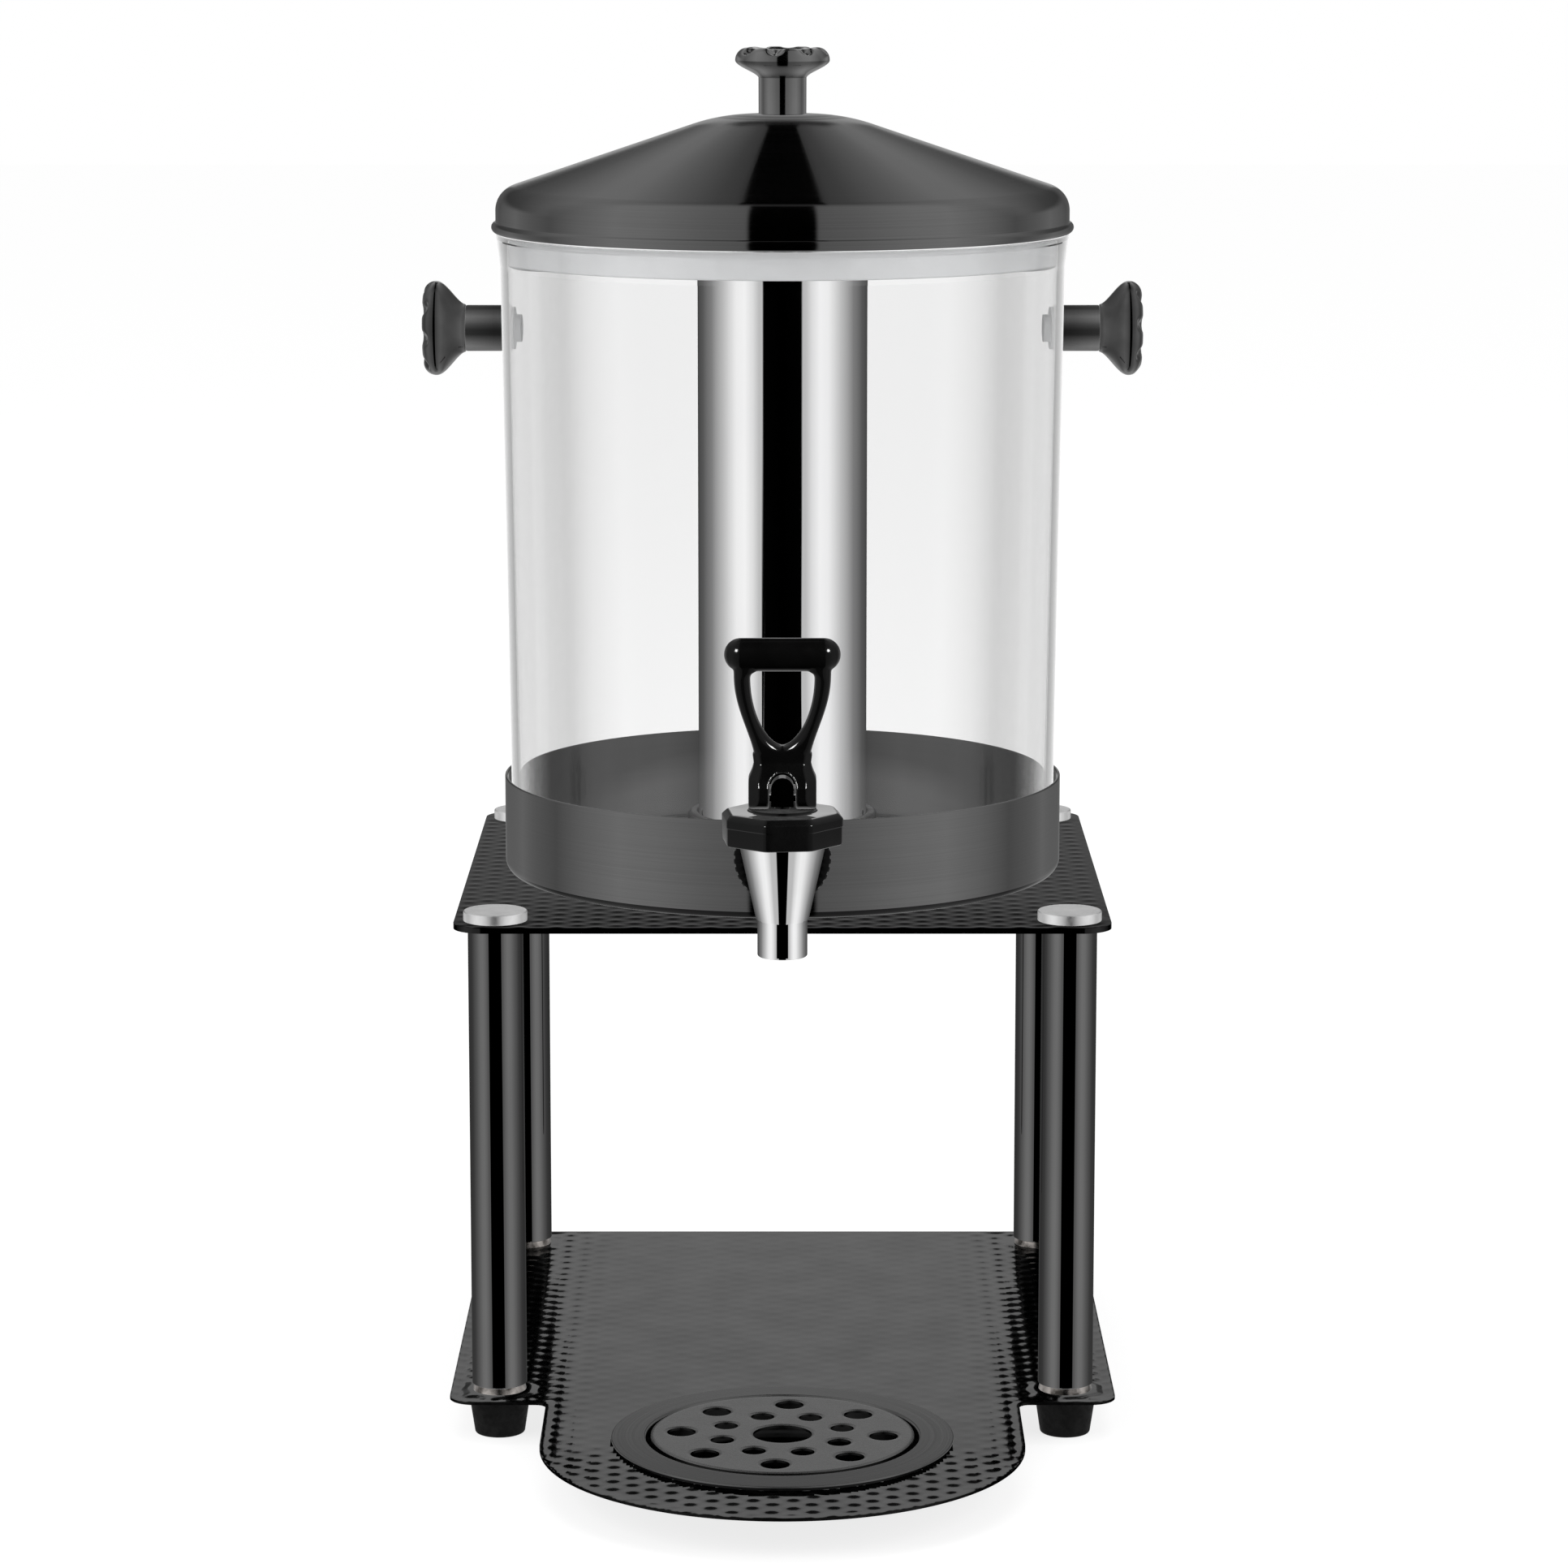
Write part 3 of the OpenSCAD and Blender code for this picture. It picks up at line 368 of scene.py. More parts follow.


# %% [markdown]
# ## Hammered plates
# Both plates are cut from sheet that is hammered all over into small raised bumps, then plated black. Bump in
# the material alone would leave the reflections too straight, so the bumps are real here. A plate is a grid
# of points that is trimmed to its outline: the outline is a distance, and points within half a step of it
# slide onto it. The bumps are domes on a slightly shaken lattice, and each point takes the highest dome near
# it. They are worn low in the middle of the base plate. The cut edges, and the strip just in front of the
# drip tray's flange, get a dull near-black finish as painted shade, and in front of the flange it also stands
# for a painted reflection of the flange's dark underside. The top plate's colour is painted darker towards
# the front, as a painted reflection of the dark pan above it.

# %% Cut sheets
def cut_sheet(name, outline, low, high, pitch, height, thickness):
    """A sheet over the points where outline(x, y) is negative, with its top at height(x, y, distance) and its
    underside a thickness lower. Cells with four corners inside become quads, and cells with three become
    triangles. Edges used by one face only are the rim, and get a wall."""
    x, y = np.meshgrid(np.arange(low[0], high[0] + pitch, pitch),
                       np.arange(low[1], high[1] + pitch, pitch), indexing="ij")
    first = outline(x, y)
    near = np.abs(first) < 0.55 * pitch
    for turn in range(3):
        d = outline(x, y)
        dx = (outline(x + 0.01, y) - outline(x - 0.01, y)) / 0.02
        dy = (outline(x, y + 0.01) - outline(x, y - 0.01)) / 0.02
        slide = np.where(near, d / np.maximum(dx ** 2 + dy ** 2, 0.05), 0)
        x, y = x - slide * dx, y - slide * dy
    inside = (first < 0.55 * pitch).ravel()
    number = np.arange(x.size).reshape(x.shape)
    cells = np.stack([number[:-1, :-1], number[1:, :-1], number[1:, 1:], number[:-1, 1:]], -1).reshape(-1, 4)
    held = inside[cells]
    rimmed = near.ravel()[cells].all(axis=1)
    quads = cells[held.all(axis=1) & ~rimmed]
    three = (held.sum(axis=1) == 3) & ~(near.ravel()[cells] | ~held).all(axis=1)
    order = (np.argmin(held[three], axis=1)[:, None] + np.array([1, 2, 3])) % 4
    corners = np.take_along_axis(cells[three], order, axis=1)
    edges = np.concatenate([np.stack([face[:, k], np.roll(face, -1, axis=1)[:, k]], 1)
                            for face in (quads, corners) for k in range(face.shape[1])])
    key = edges.min(axis=1) * x.size + edges.max(axis=1)
    _, where, count = np.unique(key, return_index=True, return_counts=True)
    rim = edges[where[count == 1]]
    top = height(x, y, outline(x, y))
    upper = np.stack([x, y, top], -1).reshape(-1, 3)
    lower = upper - np.array([0, 0, thickness])
    wall = np.stack([rim[:, 0], rim[:, 0] + x.size, rim[:, 1] + x.size, rim[:, 1]], 1)
    faces = [quads, corners, quads[:, ::-1] + x.size, corners[:, ::-1] + x.size, wall]
    points = np.concatenate([upper, lower])
    corner_uv = points[np.concatenate([face.ravel() for face in faces])][:, :2] / 100
    return new_piece(name, points, faces, corner_uv)


# %% Bumps
def smooth_step(value, low, high):
    """0 below low, 1 above high, and an even S between."""
    t = np.clip((value - low) / (high - low), 0, 1)
    return t * t * (3 - 2 * t)


COLUMN, ROW = 7.4, 9.1
DOME_X, DOME_Y = 4.2, 3.6
BUMP = 0.4
shake = np.random.default_rng(7).uniform(-0.06, 0.06, (128, 128, 2))
print("bumps every", COLUMN, "by", ROW, "mm,", BUMP, "mm high")


def bumps(x, y):
    """Height of the raised bumps, from 0 to 1: the highest of the nine nearest domes, each of them the square
    of one less the squared distance from its middle. Every other column is set half a step on."""
    i = np.floor(x / COLUMN).astype(int)[..., None] + np.repeat([-1, 0, 1], 3)
    j = np.floor(y / ROW).astype(int)[..., None] + np.tile([-1, 0, 1], 3)
    drift = shake[i % 128, j % 128]
    across = x[..., None] - (i + 0.5 + drift[..., 0]) * COLUMN
    along = y[..., None] - (j + 0.25 + 0.5 * (i % 2) + drift[..., 1]) * ROW
    return (np.maximum(1 - (across / DOME_X) ** 2 - (along / DOME_Y) ** 2, 0) ** 2).max(axis=-1)


# %% Outlines of the two plates
def box_distance(x, y, half, corner):
    """Distance to a square with rounded corners about the tank's axis."""
    a, b = np.abs(x) - half + corner, np.abs(y - tank_y) - half + corner
    return np.hypot(np.maximum(a, 0), np.maximum(b, 0)) + np.minimum(np.maximum(a, b), 0) - corner


base_low, base_high = place("base_plate")
base_half = base_high[0]
tongue_half = 92.0
fillet = 4
hole_r, tray_flange_r = 49.0, 65.0


def base_outline(x, y):
    """A rounded square, joined with a small hollow fillet to a round-nosed tongue, less the tray's hole."""
    square = box_distance(x, y, base_half, 10)
    nose = np.maximum(base_low[1] + tongue_half - y, 0)
    tongue = np.maximum(np.hypot(x, nose) - tongue_half, y - tank_y)
    blend = np.hypot(np.maximum(fillet - square, 0), np.maximum(fillet - tongue, 0))
    plate = np.maximum(fillet, np.minimum(square, tongue)) - blend
    return np.maximum(plate, hole_r - np.hypot(x, y - tray_y))


def leg_distance(x, y):
    """Distance to the nearest leg's axis."""
    leg = middle("leg_front_right")[:2] - np.array([tank_x, tank_y])
    return np.hypot(np.abs(x) - abs(leg[0]), np.abs(y - tank_y) - abs(leg[1]))


def base_height(x, y, d):
    """The level of the bumps' tops, which is also that of the flat places under the legs and along the edge,
    less the hollows. The bumps are worn low in the middle, and stand high at the sides and in front."""
    calm = smooth_step(leg_distance(x, y), 12.5, 15) * smooth_step(-d, 0.5, 3.5)
    worn = 0.15 + 0.85 * smooth_step(np.maximum(np.abs(x) - 65, -105 - y), 0, 35)
    return base_high[2] - BUMP * (1 - bumps(x, y)) * calm * worn - 0.2 * np.exp(-(d / 0.8) ** 2)


top_low, top_high = place("top_plate")


def top_outline(x, y):
    """A rounded square."""
    return box_distance(x, y, top_high[0], 12)


def top_height(x, y, d):
    """As the base plate's, with bumps of one height, and flat under the caps."""
    calm = smooth_step(leg_distance(x, y), 12.5, 15) * smooth_step(-d, 0.5, 2.5)
    return top_high[2] - 0.6 * BUMP * (1 - bumps(x + 31, y)) * calm - 0.2 * np.exp(-(d / 0.8) ** 2)


# %% Finishes of the plates
def hammered_finish(name, value, edge):
    """Black-plated sheet with faint wear."""
    finish = grained(name, 1, (260, 0.06, 0.11, (1, 1, 1), 4.0), (45, value * 0.9, value * 1.15), edge,
                     (0.35, 0.65))
    relief(finish, 0.0001, 0.12, 700)
    return finish


# Painted shade: a dull near-black finish for cut edges, the tray below its flange and the grille's holes.
painted_shade_black = grained("painted_shade_black", 1, (300, 0.28, 0.45), (60, 0.008, 0.016), 0.1)
hammered_black = hammered_finish("hammered_black", 0.098, 0.62)
hammered_painted_shade = hammered_finish("hammered_painted_shade", 0.08, 0.35)
# Painted reflection: the top plate's colour is darker towards the front, where the dark pan would be mirrored.
painted_light_along(hammered_painted_shade, "Y", -50, 50, (0.2, 0.025), (0.6, 0.085))

# %% Plates
base_t, top_t = 1.1, 2.1
base_plate = cut_sheet("base_plate_hammered", base_outline, base_low, base_high, 1.35, base_height, base_t)
dress(base_plate, hammered_black, "stand", "black_hammered", "base_plate")
spots, normals = faces_of(base_plate)
# Painted shade on the cut edges, and a crescent in front of the tray's flange that paints the flange's dark
# underside as if mirrored.
reach = np.hypot(spots[:, 0], spots[:, 1] - tray_y)
ahead = np.clip((tray_y - spots[:, 1]) / reach, 0, 1)
painted_shade_under_flange = (ahead > 0) & (reach > tray_flange_r - 1.5) & (reach < tray_flange_r + 5.5 * ahead ** 2)
reline(base_plate, painted_shade_black, (np.abs(normals[:, 2]) < 0.6) | painted_shade_under_flange)
top_plate = cut_sheet("top_plate_hammered", top_outline, top_low, top_high, 1.3, top_height, top_t)
dress(top_plate, hammered_painted_shade, "stand", "black_hammered", "top_plate")

# %% [markdown]
# ## Legs, caps and feet
# A leg is a black-plated tube, polished like a mirror, with a narrow bare collar where it meets the base
# plate. The collar could be a ring of its own. It is part of the leg's outline here, and its faces get another
# finish. A low chrome cap screws into the leg from above and a tapered rubber foot from below.

# %% Finishes of the legs
black_mirror = grained("black_mirror", 1, (90, 0.0005, 0.0035, (1, 1, 0.2)), (30, 0.142, 0.158, (1, 1, 0.3)))
neck_steel = grained("neck_steel", 1, (400, 0.2, 0.32), (160, (0.06, 0.055, 0.05), (0.42, 0.39, 0.37)),
                     stops=(0.4, 0.6))
cap_chrome = grained("cap_chrome", 1, (800, 0.3, 0.42), (120, 0.74, 0.86))
black_rubber = grained("black_rubber", 0, (500, 0.55, 0.75), (300, 0.004, 0.009), Specular_IOR_Level=0.08)
relief(black_rubber, 0.0002, 0.3, 2500)
print("finishes so far:", len(bpy.data.materials))

# %% Legs, caps and feet
leg_z = place("leg_front_right")[0][2]
leg_r = half_width("leg_front_right")
neck_z = leg_z + 2.8
leg_top = top_high[2] - top_t
leg_outline = eased([(leg_r - 1.2, leg_z, 0), (leg_r - 0.2, leg_z, 0.2), (leg_r - 0.8, neck_z - 0.4, 0.2),
                     (leg_r, neck_z, 0.3), (leg_r, leg_top, 0.3), (leg_r - 1.2, leg_top, 0.2)], ring=True)
cap_low, cap_high = place("cap_front_right")
cap_r = half_width("cap_front_right")
stud_r = 4
cap_outline = eased([(0, cap_low[2], 0), (stud_r - 0.4, cap_low[2], 0), (stud_r, cap_low[2] + 0.5, 0.2),
                     (stud_r, top_high[2], 0), (cap_r, top_high[2], 0.2), (cap_r, cap_high[2] - 0.2, 0.6),
                     (0, cap_high[2], 0)])
seat_z = base_high[2] - base_t
foot_outline = eased([(5.5, 0, 0.3), (9.7, 0, 1), (12, seat_z - 1, 0.5), (12, seat_z, 0.2),
                      (3.3, seat_z, 0.2), (3.3, 6.75, 0.2), (5.5, 6.75, 0.2)], ring=True)
for corner in ("front_left", "front_right", "rear_left", "rear_right"):
    spot = middle("leg_" + corner)[:2]
    leg = skin("leg_tube_" + corner, turned(leg_outline, 96, spot), ring=True)
    dress(leg, black_mirror, "stand", "black_mirror", "leg_" + corner)
    reline(leg, neck_steel, faces_of(leg)[0][:, 2] < neck_z - 0.3)
    cap = skin("cap_disc_" + corner, turned(cap_outline, 96, spot))
    dress(cap, cap_chrome, "stand", "chrome", "cap_" + corner)
    foot = skin("foot_taper_" + corner, turned(foot_outline, 72, spot), ring=True)
    dress(foot, black_rubber, "stand", "black_rubber", "foot_" + corner)

# %% [markdown]
# ## Drip tray and grille
# The tray is a shallow bowl with an almost flat flange, spun and plated black, and all of it below the
# flange's face gets a dull near-black finish as painted shade. The grille is a disc with punched holes whose
# edges are rolled down, and the walls of its holes and its underside get the same painted shade. Boolean cuts
# could make the holes. The plates' trimmed grid does it too, and lets the height fall off near every edge.

# %% Drip tray
tray_black = grained("tray_black", 1, (1, 0.26, 0.34, (2, 160, 1), 4.0, "UV"),
                     (1, 0.11, 0.12, (3, 60, 1), 2.0, "UV"), 0.68)
tray_low, tray_high = place("drip_tray")
lip_z = tray_high[2]
edge_z = lip_z - 0.4
tray_outline = eased([(0, tray_low[2], 0), (48.7, tray_low[2], 4), (48.7, 17.5, 0.3), (64.6, 17.4, 0.1),
                      (64.6, edge_z - 0.8, 0.1), (tray_flange_r, edge_z - 0.7, 0.1),
                      (tray_flange_r, edge_z, 0.35), (52.2, lip_z, 0.4), (52.2, 18.5, 0.2),
                      (47.5, 18.5, 0.3), (47.5, 4.2, 2.8), (0, 4.2, 0)])
tray = skin("drip_tray_spun", turned(tray_outline, 192, (0, tray_y)))
dress(tray, tray_black, "tray", "black_tray", "drip_tray")
# Painted shade on everything below the flange's face.
reline(tray, painted_shade_black, faces_of(tray)[0][:, 2] < edge_z - 0.6)

# %% Grille
grille_black = grained("grille_black", 1, (900, 0.26, 0.3), (120, 0.165, 0.18), 0.7)
grille_low, grille_high = place("drip_grille")


def grille_outline(x, y):
    """A disc less one middle hole and two circles of eight holes, all turned by four degrees."""
    r, t = np.hypot(x, y - tray_y), np.arctan2(y - tray_y, x) + math.radians(4)
    part = np.pi / 4
    outer_t = (t + part / 2) % part - part / 2
    inner_t = t % part - part / 2
    outer = np.hypot(r * np.cos(outer_t) - 38.5, r * np.sin(outer_t))
    inner = np.hypot(r * np.cos(inner_t) - 24.0, r * np.sin(inner_t))
    return np.max([r - 50.0, 11.25 - r, 5.5 - outer, 4.5 - inner], axis=0)


def grille_height(x, y, d):
    """Flat, and rolled down a little towards every edge."""
    return grille_high[2] - 0.25 * np.exp(-(d / 0.6) ** 2)


grille = cut_sheet("drip_grille_punched", grille_outline, grille_low, grille_high, 0.6, grille_height, 0.9)
dress(grille, grille_black, "grille", "grille_steel", "drip_grille")
# Painted shade on the holes' walls and the underside.
reline(grille, painted_shade_black, faces_of(grille)[1][:, 2] < 0.5)

# %% [markdown]
# ## Pan and lid
# Both are spun from sheet and brushed on the lathe, so the fine lines run round them and the light smears up
# and down, across the lines. The shader's anisotropy does that, with the tangent taken from the UV map. The
# lid's crown and shoulder are seen almost edge on, and copies of the finish with a lower edge tint keep them
# as dark as the cone: painted shade. The pan's inside and underside get darker copies of the finish, also
# painted shade.

# %% Spun finish
def spun_finish(name, value, roughness=0.1, edge=0.65):
    """Black-plated sheet with brush lines round the axis: noise that is long in U and short in V."""
    finish, tree, shader = new_finish(name, value, 1, roughness, edge, Anisotropic=1.0,
                                      Anisotropic_Rotation=0.25)
    tangent = tree.nodes.new("ShaderNodeTangent")
    tangent.direction_type = "UV_MAP"
    tangent.uv_map = "UVMap"
    tree.links.new(tangent.outputs[0], shader.inputs["Tangent"])
    lines = grain(tree, 1, (3, 260, 1), 4.0, "UV")
    spread(tree, shader.inputs["Roughness"], lines, roughness - 0.03, roughness + 0.03)
    shades(tree, shader.inputs["Base Color"], lines, (0.25, value * 0.9), (0.75, value * 1.1))
    return finish


spun_black = spun_finish("spun_black", 0.14)
# Darker copies of the spun finish, as painted shade: the pan's inside and underside, and the lid's shoulder and
# crown through lower edge tints.
spun_painted_shade_inner = spun_finish("spun_painted_shade_inner", 0.095)
spun_shadow = spun_finish("spun_shadow", 0.02)
spun_shoulder = spun_finish("spun_shoulder", 0.14, edge=0.45)
spun_crown = spun_finish("spun_crown", 0.14, edge=0.27)
print("finishes so far:", len(bpy.data.materials))

# %% Pan
pan_low, pan_high = place("tank_pan")
pan_r = half_width("tank_pan")
sheet_t = 1.2
pan_outline = eased([(0, pan_low[2], 0), (pan_r, pan_low[2], 5), (pan_r, pan_high[2], 0.5),
                     (pan_r - sheet_t, pan_high[2], 0.5), (pan_r - sheet_t, pan_low[2] + sheet_t, 3.8),
                     (0, pan_low[2] + sheet_t, 0)])
shank_z = middle("tap_flange")[2]
bore_r = 9.3


def rod(y0, y1, r):
    """A plain closed bar along Y, only ever used to bore the shank's holes."""
    outline = np.array([(0, y0), (r, y0), (r, y1), (0, y1)], float)
    return skin("bore", along_y(turned(outline, 64), 0, shank_z))


pan = skin("tank_pan_spun", turned(pan_outline, 256, (tank_x, tank_y)))
combined(pan, rod(tank_y - pan_r - 8, tank_y - 60, bore_r), "DIFFERENCE")
dress(pan, spun_black, "tank", "black_satin", "tank_pan")
spots, normals = faces_of(pan)
outwards = ((spots[:, :2] - np.array([tank_x, tank_y])) * normals[:, :2]).sum(axis=1)
# Painted shade on the pan's inside and on its underside.
reline(pan, spun_painted_shade_inner, (outwards < -20) | ((normals[:, 2] > 0.5) & (spots[:, 2] < pan_high[2] - 2)))
reline(pan, spun_shadow, normals[:, 2] < -0.3)

# %% Lid
lid_low, lid_high = place("lid_shell")
lid_r, lid_t = 114.37, 1
bead_r, bead_z, bead = 113.97, lid_low[2] + 2.1, 2.1
roll = np.radians(np.linspace(106.6, 439.0, 28))
rolled_edge = np.stack([bead_r + bead * np.cos(roll), bead_z + bead * np.sin(roll)], axis=1)
crown = lid_high[2]
sheet_path = eased([(lid_r, bead_z + 2.3, 0), (lid_r, 478.7, 10), (24.35, crown, 75), (2.8, crown, 0.2),
                    (2.8, crown - lid_t, 0.2), (24.18, crown - lid_t, 74), (lid_r - lid_t, 477.98, 9),
                    (lid_r - lid_t, bead_z + 2.3, 0)], steps=14)
lid = skin("lid_spun", turned(np.concatenate([rolled_edge, sheet_path]), 256, (tank_x, tank_y)), ring=True)
dress(lid, spun_black, "lid", "black_satin", "lid_shell")
upward = faces_of(lid)[1][:, 2]
# Painted shade on the lid's shoulder and crown.
reline(lid, spun_shoulder, upward > 0.982)
reline(lid, spun_crown, upward > 0.993)

# %% Seal under the lid
frosted = grained("frosted_seal", 0, (600, 0.38, 0.55), (90, (0.89, 0.90, 0.91), (0.94, 0.95, 0.96)),
                  Transmission_Weight=0.1)
seal_low, seal_high = place("lid_seal")
seal_r = half_width("lid_seal")
plug_r, bore = 109.2, 106.6
seal_outline = eased([(bore, seal_low[2], 0.8), (plug_r, seal_low[2], 0.8), (plug_r, seal_high[2] - 3, 0.4),
                      (seal_r, seal_high[2] - 3, 0.4), (seal_r, seal_high[2], 0.4),
                      (bore, seal_high[2], 0.6)], ring=True)
seal = skin("lid_seal_ring", turned(seal_outline, 256, (tank_x, tank_y)), ring=True)
dress(seal, frosted, "lid", "frosted_plastic", "lid_seal")

# %% [markdown]
# ## Container, ice tube and socket
# The container is one clear moulding with a slight taper and a thick collar. It is a real wall with an inside
# and an outside, so the light bends in it as it should. Its colour follows a Layer Weight and greys in a band
# where it is seen at a slant: a little of that is the longer path through the wall, and most is a painted
# reflection of dark studio panels. The ice tube in its middle is polished steel, and its socket is a dark
# plastic cup on the floor.

# %% Clear wall
clear_wall, tree, shader = new_finish("clear_wall", 1.0, 0, 0.0, IOR=1.49, Transmission_Weight=1.0)
# Painted reflection: the wall's colour greys in a band where it is seen at a slant.
facing = tree.nodes.new("ShaderNodeLayerWeight").outputs["Facing"]
shades(tree, shader.inputs["Base Color"], facing, (0.0, 1.0), (0.2, 1.0), (0.3, 0.87), (0.39, 0.715),
       (0.475, 0.82), (0.56, 1.0))
relief(clear_wall, 0.00004, 0.5, 26, (1, 1, 0.25), 1.0)

# %% Container
foot_z, rim_z = place("container")[0][2], place("container")[1][2]
rim_r = half_width("container")
foot_r, foot_round, wall_t = 109.5, 10, 3
slope = math.radians(0.75)
draft = math.tan(slope)


def wall_r(z):
    """Outer radius of the container's wall: it grows evenly from its foot."""
    return foot_r + (z - foot_z - foot_round) * draft


def floor_corners(inset):
    """Floor and foot, set in by a thickness, as outline corners from the axis outwards."""
    edge_r = wall_r(foot_z) - inset / math.cos(slope)
    return [(0, foot_z + inset, 0), (edge_r + inset * draft, foot_z + inset, foot_round - inset)]


collar_z = rim_z - 13
collar = [(wall_r(collar_z), collar_z, 6), (rim_r - 0.28, rim_z - 2.6, 0.3), (rim_r, rim_z - 1.95, 0.3),
          (rim_r, rim_z, 0.7), (wall_r(rim_z) - wall_t, rim_z, 0.7)]
container_outline = eased(floor_corners(0) + collar + floor_corners(wall_t)[::-1], steps=10)
container = skin("container_clear", turned(container_outline, 256, (tank_x, tank_y)))
combined(container, rod(tank_y - 118, tank_y - 95, bore_r), "DIFFERENCE")
knob_z = middle("handle_stalk_right")[2]
pin = np.array([(0, 100), (2.8, 100), (2.8, 120), (0, 120)], float)
for side in (-1, 1):
    combined(container, skin("bore", along_x(turned(pin, 32), side, 0, tank_y, knob_z)), "DIFFERENCE")
dress(container, clear_wall, "tank", "clear_plastic", "container")

# %% Ice tube
mirror_steel = grained("mirror_steel", 1, (60, 0.02, 0.07, (1, 1, 0.15)),
                       (25, (0.95, 0.95, 0.96), 0.99, (1, 1, 0.4)))
relief(mirror_steel, 0.00002, 0.3, 50, (1, 1, 0.1))
tube_low, tube_high = place("ice_tube")
tube_r = half_width("ice_tube")
tube_outline = eased([(0, tube_low[2], 0), (tube_r, tube_low[2], 1.5), (tube_r, tube_high[2], 0.4),
                      (tube_r - 1, tube_high[2], 0.4), (tube_r - 1, tube_low[2] + 1, 0.6),
                      (0, tube_low[2] + 1, 0)])
tube = skin("ice_tube_polished", turned(tube_outline, 160, (tank_x, tank_y)))
dress(tube, mirror_steel, "tube", "mirror_steel", "ice_tube")

# %% Socket
dark_cup = grained("dark_cup", 0, (300, 0.34, 0.5), (60, 0.028, 0.045), Specular_IOR_Level=0.15)
cup_low, cup_high = place("tube_socket")
cup_r = half_width("tube_socket")
inner_r, groove_r = 34.3, 36.65
cup_outline = eased([(0, cup_low[2], 0), (cup_r, cup_low[2], 0.4), (cup_r, cup_high[2], 1.6),
                     (inner_r, cup_high[2], 0.8), (inner_r, 223.9, 0.1), (groove_r, 223.9, 0.1),
                     (groove_r, 221.5, 0.1), (inner_r, 221.5, 0.1), (inner_r, 212.2, 0.3), (0, 212.2, 0)])
cup = skin("tube_socket_cup", turned(cup_outline, 128, (tank_x, tank_y)))
dress(cup, dark_cup, "tank", "dark_plastic", "tube_socket")

# %% [markdown]
# ## Knobs and stalks
# The three knobs are the same black chrome spool: a stem, a hollow flare and a head with eight petals. The
# petals are only a ripple of the head's front edge, so one turned surface is enough, with its points pushed
# in by a raised cosine of eight times the angle. The side knobs, and the lid knob's underside, get a darker
# copy of the chrome as painted shade. A stalk's inner end is a saddle that follows the container. Stalks lie
# flat, so what they mirror changes from top to bottom, and their colour is painted in bands along the height
# as a painted reflection.

# %% Black plastic and black chrome
gloss_black = grained("gloss_black", 0, (350, 0.09, 0.15), (80, 0.0004, 0.0007), Specular_IOR_Level=0.12)
relief(gloss_black, 0.00003, 0.2, 900)
# A shinier, coated copy of the black plastic: a painted sheen for the bonnet's top corners.
gloss_painted_sheen = grained("gloss_painted_sheen", 0, (350, 0.08, 0.12), (80, 0.0004, 0.0007), Specular_IOR_Level=0.7,
                      Coat_Weight=1.0, Coat_Roughness=0.05)
black_chrome = grained("black_chrome", 1, (250, 0.06, 0.12), (60, 0.145, 0.175))
# A darker copy of the black chrome: painted shade.
chrome_painted_shade = grained("chrome_painted_shade", 1, (250, 0.06, 0.12), (60, 0.05, 0.1))
print("finishes so far:", len(bpy.data.materials))

# %% Knobs
stem_r, head_r, face_r, edge_h = 9.5, 18.8, 14.2, 5


def knob_grid(stem, flare, around=192):
    """A knob from its seat at height 0. Its side swells from the stem to the head's widest circle along an
    even S over the height of the flare, and a quarter of an ellipse leads on to the dished face. Eight narrow
    dips in the face's edge, a raised cosine to the third power, leave eight petals."""
    top = stem + 16.8
    brim = top - edge_h
    rise = np.linspace(0, 1, 24)
    swell_r = stem_r + (head_r - stem_r) * smooth_step(rise, 0, 1)
    swell = np.stack([swell_r, brim - flare * (1 - rise ** 1.1)], axis=1)
    bend = np.linspace(0, np.pi / 2, 20)
    edge = np.stack([face_r + (head_r - face_r) * np.cos(bend), brim + edge_h * np.sin(bend)], axis=1)
    inward = np.linspace(face_r, 0, 16)
    face = np.stack([inward, top - 1.2 * smooth_step(face_r - inward, 0, 6)], axis=1)
    seat = [(0, 12), (2.55, 12), (2.55, 0), (stem_r - 0.3, 0), (stem_r, 0.3)]
    outline = np.concatenate([seat, swell[1:], edge[1:], face[1:]])
    grid = turned(outline, around)
    reach = np.hypot(outline[:, 0] - 15.6, 0.8 * (outline[:, 1] - top))
    weight = smooth_step(4.0 - reach, 0, 3.0)[:, None]
    ripple = ((1 - np.cos(8 * (circle_of(around) - np.pi / 2 - math.radians(12)))) / 2) ** 3
    grid[..., 2] -= 1.9 * weight * ripple
    return grid


for node, side in [("handle_knob_left", -1), ("handle_knob_right", 1)]:
    low, high = place(node)
    seat = high[0] if side < 0 else low[0]
    knob = skin(node + "_spool", along_x(knob_grid(0.0, 11.8), side, seat, tank_y, knob_z))
    dress(knob, chrome_painted_shade, "tank", "black_gloss", node)
lid_knob = skin("lid_knob_spool", knob_grid(9.5, 7.0) + np.array([tank_x, tank_y, place("lid_knob")[0][2]]))
dress(lid_knob, black_chrome, "lid", "black_gloss", "lid_knob")
# Painted shade under the lid knob's head.
reline(lid_knob, chrome_painted_shade, faces_of(lid_knob)[1][:, 2] < -0.15)

# %% Stalks
stalk_r, screw_r = 9.2, 2.8
# Painted reflection: the stalk's colour runs in bands along its height.
stalk_painted_reflection = spun_finish("stalk_painted_reflection", 0.15, 0.24)
painted_light_along(stalk_painted_reflection, "Z", knob_z - stalk_r, knob_z + stalk_r, (0.03, 0.18), (0.13, 0.25), (0.22, 0.2),
             (0.4, 0.045), (0.5, 0.045), (0.6, 0.1), (0.7, 0.2), (0.78, 0.24), (0.87, 0.13), (0.97, 0.05))
t = circle_of(96)


